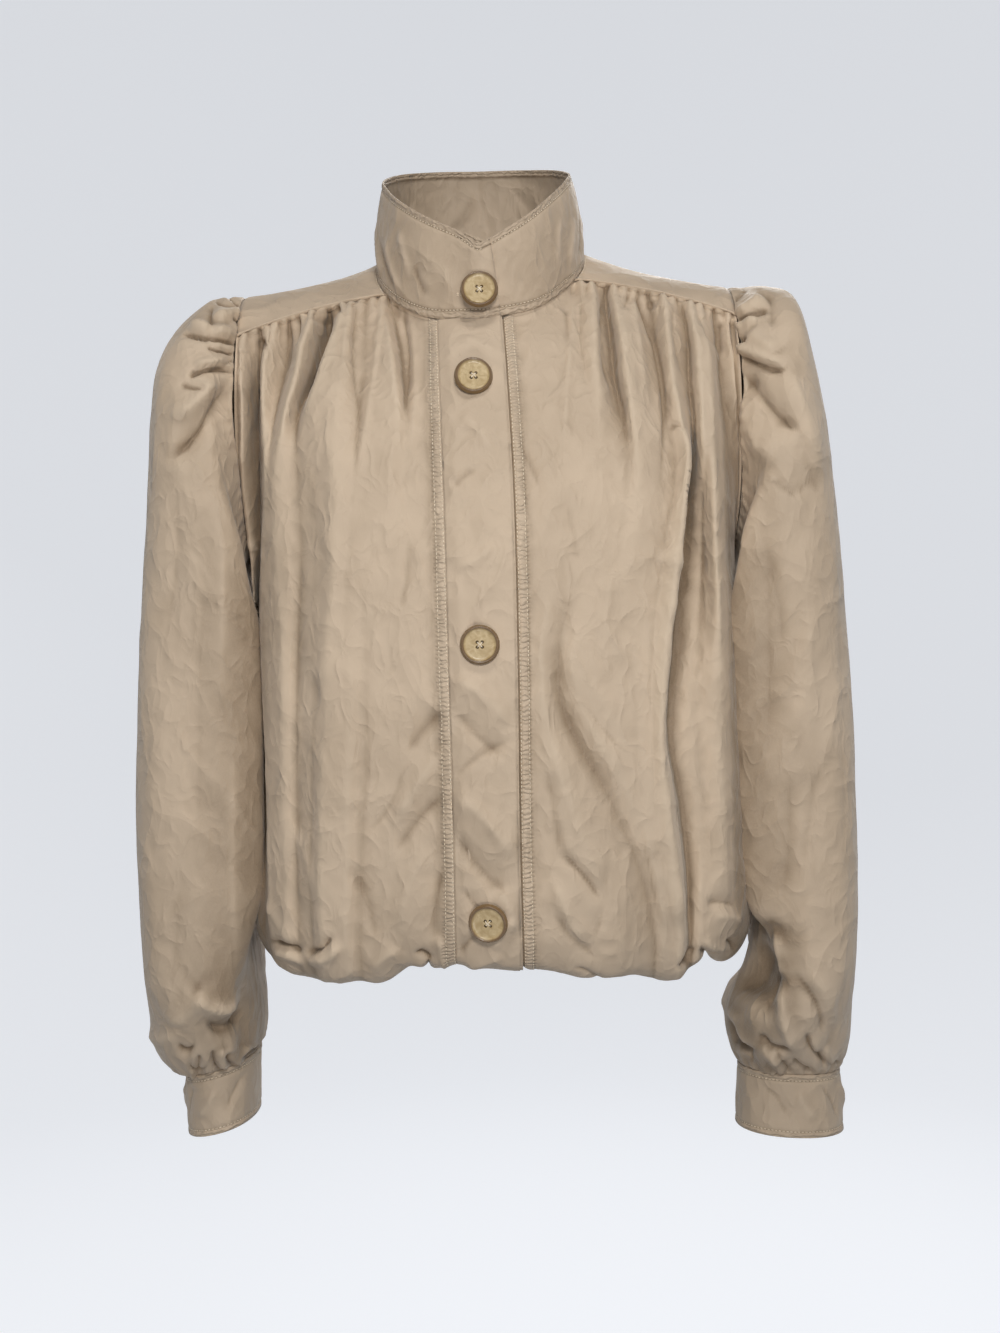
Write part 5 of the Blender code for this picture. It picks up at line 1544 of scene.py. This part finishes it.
def sleeve_ring(table, station, turn):
    """Point of a sleeve at a station along it and a turn round it."""
    columns = (look_up(table, index, station) for index in range(1, 8))
    outer_x, outer_z, inner_x, inner_z, front, back, square = columns
    c, s = oval(np.radians(turn), square)
    x = (outer_x + inner_x) / 2 + (outer_x - inner_x) / 2 * c
    z = (outer_z + inner_z) / 2 + (outer_z - inner_z) / 2 * c
    y = (front + back) / 2 - (back - front) / 2 * s
    round_body = np.exp(-(((np.abs((turn + 180) % 360 - 180) - WRAP_TURN) / 22) ** 2))
    hold = ease((station - 3.0) / 3.5) * ease((16.5 - station) / 3)
    return stack(x - np.sign(outer_x) * SLEEVE_WRAP * round_body * hold, y, z)


def sleeve_fold_heights(turn, station, folds):
    """Height of a sleeve's ridges and valleys by turn and station."""
    total = np.zeros(np.broadcast(turn, station).shape)
    for turn1, s1, turn2, s2, turn3, s3, rise, width in folds:
        path = smooth((s1, s2, s3), (turn1, turn2, turn3), station)
        off = (turn - path + 180) % 360 - 180
        run = ease((station - s1) / (0.35 * (s2 - s1))) * ease((s3 - station) / (0.5 * (s3 - s2)))
        total = total + rise * np.exp(-((off / width) ** 2)) * run
    return total


def even_turns(table, stations, shares):
    """Turns at even lengths round every ring, from the body side round the back to the body side."""
    ring = sleeve_ring(table, stations[:, None], FINE_TURNS[None, :])
    steps = np.linalg.norm(np.diff(ring, axis=1), axis=-1)
    run = np.concatenate([np.zeros((len(stations), 1)), np.cumsum(steps, axis=1)], axis=1)
    run /= run[:, -1:]
    return np.array([np.interp(shares, row, FINE_TURNS) for row in run])


def sleeve_stations(table, count):
    """Stations at even lengths down the middle of the sleeve, closer at both gathered ends."""
    fine = np.linspace(0, SLEEVE_LAST, 500)
    four = sleeve_ring(table, fine[:, None], np.array([[20.0, 90.0, 160.0, 270.0]]))
    steps = np.linalg.norm(np.diff(four, axis=0), axis=-1).mean(axis=1)
    run = np.concatenate([[0], np.cumsum(steps)])
    return np.interp(packed(count, 0.62) * run[-1], run, fine)


shares = np.linspace(0, 1, SLEEVE_GRID[1])
shares = shares - FRONT_BIAS * np.sin(2 * np.pi * (shares - 0.75)) / (2 * np.pi) - FRONT_BIAS / (2 * np.pi)
SLEEVE_SHARES = (shares - shares[0]) / (shares[-1] - shares[0])
print("sleeve grid:", SLEEVE_GRID)

# %% [markdown]
# ### Folds of the sleeves
#
# Long folds follow the turn and the station of the tube, while the short creases at the
# seam and above the cuff are placed as the picture shows them, from the front. Behind, the
# same creases come back softer and wider, because nothing tells how the hidden half looks.

# %% Sleeve folds
# Creases seen from the front: across 1, height 1, across 2, height 2, bend, rise, width.
SLEEVE_CREASES = {
    -1: (
        (-194, -81, -229, -76, 1.5, -4.9, 2.2), (-195, -75, -225, -68, 1, 3.5, 4),
        (-194, -89, -210, -87, 1, -3.5, 1.6), (-196, -86, -210, -83, 0, 1.7, 2),
        (-195, -97, -205, -105, 1, -2.9, 1.8), (-194, -105, -222, -113, -3, -4.6, 2.4),
        (-195, -100, -218, -106, -2, 3.2, 3.5), (-208, -123, -227, -117, 1, -2, 3),
        (-196, -116, -236, -176, 6, -4.9, 7), (-202, -111, -232, -145, 4, 3.2, 6),
        (-212, -45, -207, -81, 1, -2.3, 3),
        (-194, -47, -212, -42, 1, -3.2, 2.5), (-195, -56, -208, -62, 1, 3.8, 5),
        (-192, -44, -205, -35, 0, -2.3, 1.5),
        (-192, -62, -197, -61, 0, -2.6, 1.5), (-192, -70, -198, -69, 0, 1.7, 1.6),
        (-230, -182, -242, -307, 4, -1.2, 10), (-196, -142, -202, -352, 0, 2.2, 12),
        (-254, -216, -276, -507, 0, 1, 10), (-210, -248, -219, -469, -3, -1, 12),
        (-236, -483, -245, -566, 2, -1, 9),
        (-195, -381, -200, -564, 0, 1.6, 9), (-249, -592, -221, -567, -5, 3.4, 9),
        (-225, -565, -200, -584, -6, 4.6, 7), (-222, -593, -197, -589, -9, -5, 6),
        (-244, -608, -229, -611, -6, -3.6, 4), (-274, -611, -237, -597, -3, 2.6, 7),
        (-237, -625, -223, -629, -11, -3.6, 2.6), (-238, -635, -228, -639, -12, 2.4, 4),
        (-217, -637, -217, -614, 1, -3.4, 2.6), (-212, -635, -212, -614, 1, 2.8, 3.4),
        (-208, -634, -209, -617, 1, -3, 2.4), (-201, -633, -192, -626, 1, -3, 3),
        (-206, -634, -195, -620, 1, 2.4, 3.4), (-258, -642, -266, -634, 0, -2.4, 2.6),
        (-232, -638, -227, -617, 0, -2.6, 2.2),
    ),
    1: (
        (193, -70, 213, -64, -1, -4.4, 3), (195, -64, 212, -52, -2, 3.6, 5), (191, -51, 206, -37, 0, -2, 4),
        (192, -76, 205, -72, 0, 2.6, 3.4), (192, -88, 198, -91, 0, -4, 2),
        (193, -92, 220, -114, -4, 4.2, 4.5),
        (193, -99, 220, -118, -3, -4.6, 3.4), (200, -82, 217, -102, -3, 2.8, 8),
        (216, -45, 213, -85, 0, -1.6, 5),
        (194, -114, 230, -165, -7, -4.2, 8), (193, -128, 208, -187, -3, 3, 8),
        (223, -118, 242, -192, 0, 2.6, 8),
        (226, -160, 242, -212, 0, -1.0, 8), (208, -196, 226, -210, -2, -0.8, 4),
        (226, -210, 238, -198, 2, -0.6, 4),
        (202, -226, 202, -404, 2, -1.2, 10), (227, -228, 233, -404, 3, 1.4, 12),
        (259, -257, 258, -510, 0, -1, 9),
        (217, -405, 211, -509, 2, -1.2, 10), (203, -246, 214, -325, 2, -0.8, 6),
        (235, -300, 222, -380, 2, 0.8, 7),
        (242, -400, 226, -484, -2, -0.8, 8), (203, -531, 207, -571, 1, 3.4, 5),
        (207, -571, 223, -629, -2, 4.2, 5),
        (202, -547, 199, -603, 0, -4.6, 9), (204, -521, 188, -594, 0, -6, 14),
        (218, -564, 242, -616, 6, -2.6, 5),
        (228, -562, 252, -611, 4, 1.8, 7), (228, -609, 270, -648, -9, -5.2, 3.4),
        (234, -614, 259, -645, -6, 3.6, 4.5), (196, -614, 220, -624, -7, -4.6, 3.4),
        (200, -621, 218, -636, -6, 2.2, 6), (180, -609, 192, -637, -4, -5, 4),
        (182, -603, 196, -631, -4, 2.4, 4),
        (201, -651, 212, -648, -5, 3, 3), (223, -652, 209, -627, 1, -3.2, 3),
        (219, -652, 206, -624, 1, 2.6, 3.4),
        (242, -652, 221, -634, 2, -3.4, 3), (250, -646, 241, -627, 1, -2.8, 2.4),
        (255, -644, 246, -624, 1, 2.4, 3),
        (196, -648, 189, -624, 0, -2.6, 2.6), (231, -653, 240, -653, -3, 2.6, 2.4),
    ),
}
HEAD_PITCH = 13.0               # from one gather to the next, at the head
REST_TURN = 128.0               # the sleeve's front corner, at this turn,
REST_SHIFT = 15.0               # lies this much further onto the body
ROLL_BACK = 8.0                 # and turns back by this much
CUFF_PITCH = 9.5                # from one gather to the next, at the cuff
WIDER_BEHIND = 2.0              # the creases behind are similar ones, softer and this much wider
INNER_SHADE = 3.4               # the side that lies against the body is in its shade
CREASE_REACH = 5.0              # creases at the armhole seam start this far before it


def past_seam(row):
    """A crease that begins at the armhole seam starts before it, so that it is deep there."""
    a1, b1, a2, b2 = row[:4]
    if abs(a1) > 197 or b1 < -130:
        return row
    back = CREASE_REACH / np.hypot(a2 - a1, b2 - b1)
    return (a1 - back * (a2 - a1), b1 - back * (b2 - b1)) + row[2:]


def sleeve_relief(side, folds, grid, turns, stations):
    """Heights over a sleeve: folds, gathers at both ends, creases in front, and crumple."""
    station = stations[:, None]
    u, v = measure(grid)
    head, foot = from_edge(grid, 0, False), from_edge(grid, 0, True)
    height = sleeve_fold_heights(turns, station, folds)
    body_side = ease((np.abs(turns) - 125) / 30)
    height = height * (1 - 0.85 * body_side * (station < 16)) * ease(head / 6) * ease(foot / 5)
    seen = ease(np.sin(np.radians(turns)) / 0.25)
    unseen = ease(-np.sin(np.radians(turns)) / 0.25)
    height = height * (0.12 + 0.40 * unseen + 0.38 * ease((station - 15) / 3))
    round_head = np.broadcast_to(turns[:1] * 2.0, turns.shape)
    gathers = (0.8 + 0.8 * unseen) * gather_wave(round_head, HEAD_PITCH, 200 + side)
    height += gathers * np.exp(-head / 11) * ease(head / 3)
    round_cuff = np.broadcast_to(turns[-1:] * 0.62, turns.shape)
    tight = np.exp(-((foot / 26) ** 1.5)) * ease(foot / 3)
    height += 1.1 * gather_wave(round_cuff, CUFF_PITCH, 210 + side) * tight
    gain = (1.7 + 0.3 * ease(foot / 250)) * ease((foot + 0.2) / 2.5) * ease((head + 0.7) / 2.4)
    creases = [past_seam(row) for row in SLEEVE_CREASES[side]]
    height += gain * soft_creases(grid[..., 0], grid[..., 2], creases) * seen
    behind = [row[:6] + (WIDER_BEHIND * row[6],) for row in creases]
    height += 0.5 * gain * soft_creases(grid[..., 0], grid[..., 2], behind) * unseen
    height += 0.40 * crumple(u, v, 120 + side) * ease(head / 12) * ease(foot / 10)
    return height + groove(head, 0.7, 1.2) + groove(foot, 0.3, 1.8)


def leaning_in(table, grid, stations, turns):
    """The front corner of the sleeve rests on the body and rolls back there, by a bell round its turn."""
    roll = ROLL_BACK * ease((turns - 96) / 40) * ease((168 - turns) / 30)
    roll = roll * ease((stations - 3) / 3) * ease((17 - stations) / 3)
    grid = grid + BEHIND * roll[..., None]
    bell = np.exp(-(((turns - REST_TURN) / 24) ** 2)) * ease((stations - 1.5) / 2) * ease((17 - stations) / 4)
    return grid - np.array([np.sign(table[0][1]) * REST_SHIFT, 0, 0]) * bell[..., None]


def make_sleeve(node_name, side, table, folds):
    """Builds one sleeve as a closed tube."""
    stations = sleeve_stations(table, SLEEVE_GRID[0])
    turns = even_turns(table, stations, SLEEVE_SHARES)
    grid = leaning_in(table, sleeve_ring(table, stations[:, None], turns), stations[:, None], turns)
    relief = sleeve_relief(side, folds, grid, turns, stations)
    relief[:, -1] = relief[:, 0]
    grid = raised(grid, None, relief, closed=True)
    grid[:, -1] = grid[:, 0]
    away = grid - grid.mean(axis=1, keepdims=True)
    # painted shade on the side of the sleeve that lies against the body
    shade = INNER_SHADE * ease((turns - 82) / 50) * ease((200 - turns) / 30)
    shade = shade * ease((stations[:, None] - 3) / 3)
    cloth_piece(node_name, grid, away, relief,
                closed=True, shade=shade)


make_sleeve("sleeve_right", -1, SLEEVE_RIGHT, SLEEVE_FOLDS_RIGHT)
make_sleeve("sleeve_left", 1, SLEEVE_LEFT, SLEEVE_FOLDS_LEFT)

# %% [markdown]
# ## The cuffs
#
# A short double band at each wrist. Its stitched edges pull the cloth into slanting
# wrinkles, so the creases are drawn over the band's own length and height.

# %% Cuffs
CUFF_GRID = (36, 150)
CUFF_CREASE_GAIN = 3.2          # the creases are this much deeper than in their table
CUFF_STITCHES = (5.0, 4.6)      # the stitched lines run this far from its top and from its foot
# place 1, place 2 along and down the band, bend, rise, width
CUFF_CREASES = (
    (-14, 8, -40, 30, 3, 0.9, 4), (6, 6, -16, 30, 2, -0.9, 4), (26, 10, 4, 34, 3, 0.8, 4),
    (44, 8, 26, 36, 3, -0.8, 4),
    (-50, 10, -66, 30, 2, 0.8, 4), (62, 12, 48, 34, -2, 0.8, 4), (90, 10, 70, 34, 3, -0.7, 4),
    (-90, 10, -72, 34, 3, 0.7, 4),
)


def cuff_grid(table, end, turns, rows):
    """A cuff, from the sleeve's last ring down to its own end."""
    last = table[-1]
    bottom = (SLEEVE_LAST + 1,) + end + (2.2,)
    return sleeve_ring((last, bottom), (SLEEVE_LAST + rows)[:, None], turns[None, :])


def make_cuff(node_name, table, end, seed):
    """Builds one cuff as a closed band, with a row of stitches by each edge."""
    ring = cuff_grid(table, end, FINE_TURNS, np.array([0.0, 0.5, 1.0]))[1]
    turns = even_steps(FINE_TURNS, ring, CUFF_GRID[1])
    grid = cuff_grid(table, end, turns, packed(CUFF_GRID[0]))
    u, v = measure(grid)
    top, foot = from_edge(grid, 0, False), from_edge(grid, 0, True)
    at_top, at_foot = top - CUFF_STITCHES[0], foot - CUFF_STITCHES[1]       # from the stitched lines
    relief = CUFF_CREASE_GAIN * soft_creases(u, v, CUFF_CREASES) + 0.5 * crumple(u, v, seed)
    relief = relief * ease(top / 7) * ease(foot / 6)
    relief += 0.25 * gather_wave(u, 5.5, 141) * np.exp(-(((top - 3) / 3) ** 2))
    relief += groove(at_top, 0.8, 1.1) + groove(at_foot, 0.8, 1.1)
    relief[:, -1] = relief[:, 0]
    grid = raised(grid, None, relief + 0.3, closed=True)
    grid[:, -1] = grid[:, 0]
    grid = inset(grid, 0, False, 0.2)
    away = grid - grid.mean(axis=1, keepdims=True)
    pucker = 0.9 * (np.exp(-(((top - 2.8) / 2.9) ** 4)) + np.exp(-(((foot - 2.2) / 2.4) ** 4)))
    # painted shade along the stitched lines; the -0.5 paints the whole cuff a little paler, as painted light
    shade = painted_stitch_shade(at_top) + painted_stitch_shade(at_foot) - 0.5
    cloth_piece(node_name, grid, away, relief,
                closed=True, pucker=pucker, shade=shade)
    for far_edge, distance in zip((False, True), CUFF_STITCHES):
        stitch_row(*line_over(grid, 0, far_edge, distance, away))


make_cuff("cuff_right", SLEEVE_RIGHT, CUFF_RIGHT_END, 156)
make_cuff("cuff_left", SLEEVE_LEFT, CUFF_LEFT_END, 155)

# %% [markdown]
# ### Thread
#
# The thread is made as cotton too, but smoother and a little paler than the cloth, with a
# fine twist. All rows were collected above, so the whole topstitching is one piece.

# %% Thread
THREAD_DARK = (0.60, 0.48, 0.33, 1)
THREAD_PALE = (0.84, 0.74, 0.58, 1)


def thread_material(name):
    """Cotton thread, a little paler than the cloth, with a fine twist."""
    made, tree, shader = new_material(name)
    place = tree.nodes.new("ShaderNodeTexCoord")
    strands = node(tree, "ShaderNodeTexNoise", Scale=1400.0, Detail=2.0)
    link(tree, place, "Object", strands, "Vector")
    part = ramp(tree, strands, "Fac", 0.35, 0.65)
    tone = mix_colour(tree, part, "Result", THREAD_DARK, THREAD_PALE)
    link(tree, tone, 2, shader, "Base Color")
    link(tree, bump_over(tree, strands, "Fac", 0.5, 0.0001), "Normal", shader, "Normal")
    set_inputs(shader, Roughness=0.55, Sheen_Weight=0.3)
    return made


def small_piece(mesh, material, stands_for=None):
    """A mesh as a piece that rides on the frame, with its material."""
    made = add_object(mesh.name, mesh)
    mesh.materials.append(material)
    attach(made, "root")
    if stands_for:
        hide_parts(stands_for)
    return made


cotton_thread = thread_material("cotton_thread")
stitches = small_piece(tube_mesh("topstitching", np.concatenate(thread_lines)), cotton_thread)
print("stitches:", sum(len(line) for line in thread_lines), "triangles:", 2 * len(stitches.data.polygons))

# %% [markdown]
# ## The buttons
#
# Imitation horn, cast as a disc: a dark polished rim round a dished, mottled face with
# four holes. The face is a polar grid whose height is the sum of a dish and four small
# wells, and the rim is a rounded bank. Two crossed bundles of thread hold each button on.

# %% Button shape
BUTTON_STEPS = 64
HOLE_OUT = 2.5                  # distance of the holes from the middle
HOLE_RADIUS = 1.0
HOLE_DEPTH = 1.9
POLE = 0.2                      # the grid starts and ends this far from the middle
HOLES_END = 4.4                 # the fine part of the grid, with the holes, ends here
FACE_LEVEL = 0.60                   # height of the face at its middle, as a share of the thickness


def button_height(r):
    """Profile of the upper face over the distance from the middle: a dish inside a rounded rim."""
    share = r / BUTTON_RADIUS
    dish = BUTTON_THICK * (FACE_LEVEL + 0.06 * share**2)
    bank = BUTTON_THICK * 0.40 * np.exp(-(((share - 0.885) / 0.085) ** 2))
    roll = BUTTON_THICK * 0.42 * ease((share - 0.93) / 0.07) ** 1.5
    return dish + bank - roll


def button_grid():
    """Polar grid from the middle of the face, over the rim, to the middle of the underside."""
    out = np.concatenate([np.linspace(POLE, HOLES_END, 24), np.linspace(4.8, 12.6, 12),
                          np.linspace(12.75, BUTTON_RADIUS, 8)])
    angle = np.linspace(0, 2 * np.pi, BUTTON_STEPS + 1)
    r, turn = np.meshgrid(out, angle, indexing="ij")
    x, y = r * np.cos(turn), r * np.sin(turn)
    z = button_height(r)
    for k in range(4):
        cx, cy = HOLE_OUT * np.cos(np.pi * (k / 2 + 0.25)), HOLE_OUT * np.sin(np.pi * (k / 2 + 0.25))
        gap = np.hypot(x - cx, y - cy)
        z = z - HOLE_DEPTH * ease((HOLE_RADIUS + 0.25 - gap) / 0.5)
    under = np.array([13.6, 12.4, 9.0, 4.0, POLE])
    low = np.array([0.9, 0.25, 0.0, 0.0, 0.0])
    below = stack(under[:, None] * np.cos(angle), under[:, None] * np.sin(angle), low[:, None] + 0 * angle)
    return np.concatenate([stack(x, y, z), below], axis=0)


def button_frame(row):
    """Where a button sits: the turn of its axis, and the middle of its underside, on its cloth."""
    across, height, side_lean, forward_lean = row
    if height > -70:
        patch = collar_grid(np.linspace(0.9, 1, 90), np.linspace(0, 1, 60))
    else:
        patch = placket_strip(True, np.linspace(0, 1, 60), np.linspace(PLACKET_END, TOP_STATION, 400))
    patch = patch.reshape(-1, 3)
    off = np.hypot(patch[:, 0] - across, patch[:, 2] - height)
    ground = patch[np.argmin(off)]
    turn = Euler((np.radians(90 + forward_lean), 0, np.radians(side_lean))).to_matrix()
    facing = np.array(turn @ Vector((0, 0, 1)))
    seat = ((patch[off < 0.8 * BUTTON_RADIUS] - ground) @ facing).max() + CLOTH / 2 + SEAM_GAP
    return np.array(turn), ground + facing * seat


print("button of", 2 * BUTTON_RADIUS, "mm")

# %% [markdown]
# ### Horn
#
# Horn is clouded and veined. Two noises of different sizes mix its browns, and the
# distance from the middle, kept at each point of the mesh, darkens the rim. A thin coat
# gives the polish. Every button gets its own clouds, by a shift of the noise.

# %% Button materials
HORN_BROWN = (0.36, 0.25, 0.11, 1)
HORN_HONEY = (0.52, 0.40, 0.22, 1)
HORN_VEIN = (0.20, 0.13, 0.05, 1)
RIM_DARK = (0.135, 0.075, 0.028, 1)
RIM_WORN = (0.24, 0.145, 0.055, 1)
WELL_PAINTED_SHADE = (0.10, 0.065, 0.03, 1)


def horn_material(name, seed):
    """Mottled horn inside a dark rim. The mesh keeps its radius and the depth of its wells, which get painted
    shade.
    """
    made, tree, shader = new_material(name)
    place = tree.nodes.new("ShaderNodeTexCoord")
    shift = node(tree, "ShaderNodeMapping", Location=(0.013 * seed, 0.007 * seed, 0.0))
    link(tree, place, "Object", shift, "Vector")
    clouds = node(tree, "ShaderNodeTexNoise", Scale=170.0, Detail=4.0, Roughness=0.6, Distortion=1.1)
    link(tree, shift, "Vector", clouds, "Vector")
    blotch = ramp(tree, clouds, "Fac", 0.36, 0.66)
    face = mix_colour(tree, blotch, "Result", HORN_BROWN, HORN_HONEY)
    veins = node(tree, "ShaderNodeTexNoise", Scale=420.0, Detail=3.0, Roughness=0.7, Distortion=1.8)
    link(tree, shift, "Vector", veins, "Vector")
    dots = ramp(tree, veins, "Fac", 0.60, 0.74, last=0.5)
    flecked = mix_colour(tree, dots, "Result", face, HORN_VEIN)
    radius = kept_value(tree, "radius")
    inside = ramp(tree, radius, "Fac", 10.9, 11.9)
    rim = mix_colour(tree, inside, "Result", flecked, RIM_DARK)
    outside = ramp(tree, radius, "Fac", 12.7, 13.6, last=0.6)
    edge = mix_colour(tree, outside, "Result", rim, RIM_WORN)
    # painted shade in the four holes, deeper towards their bottoms
    deep = mix_colour(tree, kept_value(tree, "well"), "Fac", edge, WELL_PAINTED_SHADE)
    link(tree, deep, 2, shader, "Base Color")
    link(tree, bump_over(tree, clouds, "Fac", 0.12, 0.0003), "Normal", shader, "Normal")
    link(tree, ramp(tree, clouds, "Fac", 0.45, 0.8, 0.36, 0.52), "Result", shader, "Roughness")
    set_inputs(shader, Specular_IOR_Level=0.5, Coat_Weight=0.12, Coat_Roughness=0.2)
    return made


print("horn ready")

# %% [markdown]
# ### Sewing them on
#
# A button lies on its cloth, so we look for the highest point of the cloth below it and
# rest its underside there. Each leans its own way, as they do on the jacket.

# %% Make the buttons
CORD_RADIUS = 0.20
CORD_SIDES = 8


def tube(points):
    """Rings of a tube of thread along a short path that isn't upright."""
    ahead = np.gradient(points, axis=0)
    ahead /= np.linalg.norm(ahead, axis=1, keepdims=True)
    side = np.cross(ahead, np.array([0, 0, 1.0]))
    side /= np.linalg.norm(side, axis=1, keepdims=True)
    up = np.cross(side, ahead)
    angle = np.linspace(0, 2 * np.pi, CORD_SIDES, endpoint=False)
    ring = side[:, None] * np.cos(angle)[:, None] + up[:, None] * np.sin(angle)[:, None]
    return points[:, None] + CORD_RADIUS * ring


def thread_cross(turned, ground):
    """Two bundles of thread that cross between the four holes."""
    bundles = []
    for k, lift in ((0, 0.0), (1, 0.35)):
        for spread in (-0.26, 0.0, 0.26):
            angle = np.pi * (k / 2 + 0.25)
            t = np.linspace(-1, 1, 11)
            x = HOLE_OUT * t * np.cos(angle) - spread * np.sin(angle)
            y = HOLE_OUT * t * np.sin(angle) + spread * np.cos(angle)
            z = BUTTON_THICK * FACE_LEVEL + (0.42 + lift) * np.sqrt(np.maximum(1 - t**2, 0)) - 0.25
            z = z - 0.9 * ease((np.abs(t) - 0.8) / 0.2)
            bundles.append(tube(np.stack([x, y, z], axis=-1))[::-1])
    return np.array(bundles) @ turned.T + ground


def make_button(number, row):
    """A button and its thread, placed on the cloth and made to replace the CAD disc."""
    turned, ground = button_frame(row)
    local = button_grid()[:, :-1]
    mesh = tube_mesh(f"horn_button_{number}", (local @ turned.T + ground)[None])
    radius = np.hypot(local[..., 0], local[..., 1])
    keep_value(mesh, "radius", radius)
    sunk = np.clip((button_height(radius) - local[..., 2]) / HOLE_DEPTH, 0, 1) * (radius < HOLES_END)
    keep_value(mesh, "well", sunk)
    made = small_piece(mesh, horn_material(f"horn_{number}", number), f"button_{number}")
    thread = tube_mesh(f"button_thread_{number}", thread_cross(turned, ground))
    small_piece(thread, cotton_thread)
    return made


buttons = [make_button(number, row) for number, row in enumerate(BUTTONS, start=1)]
print("buttons:", [b.name for b in buttons])
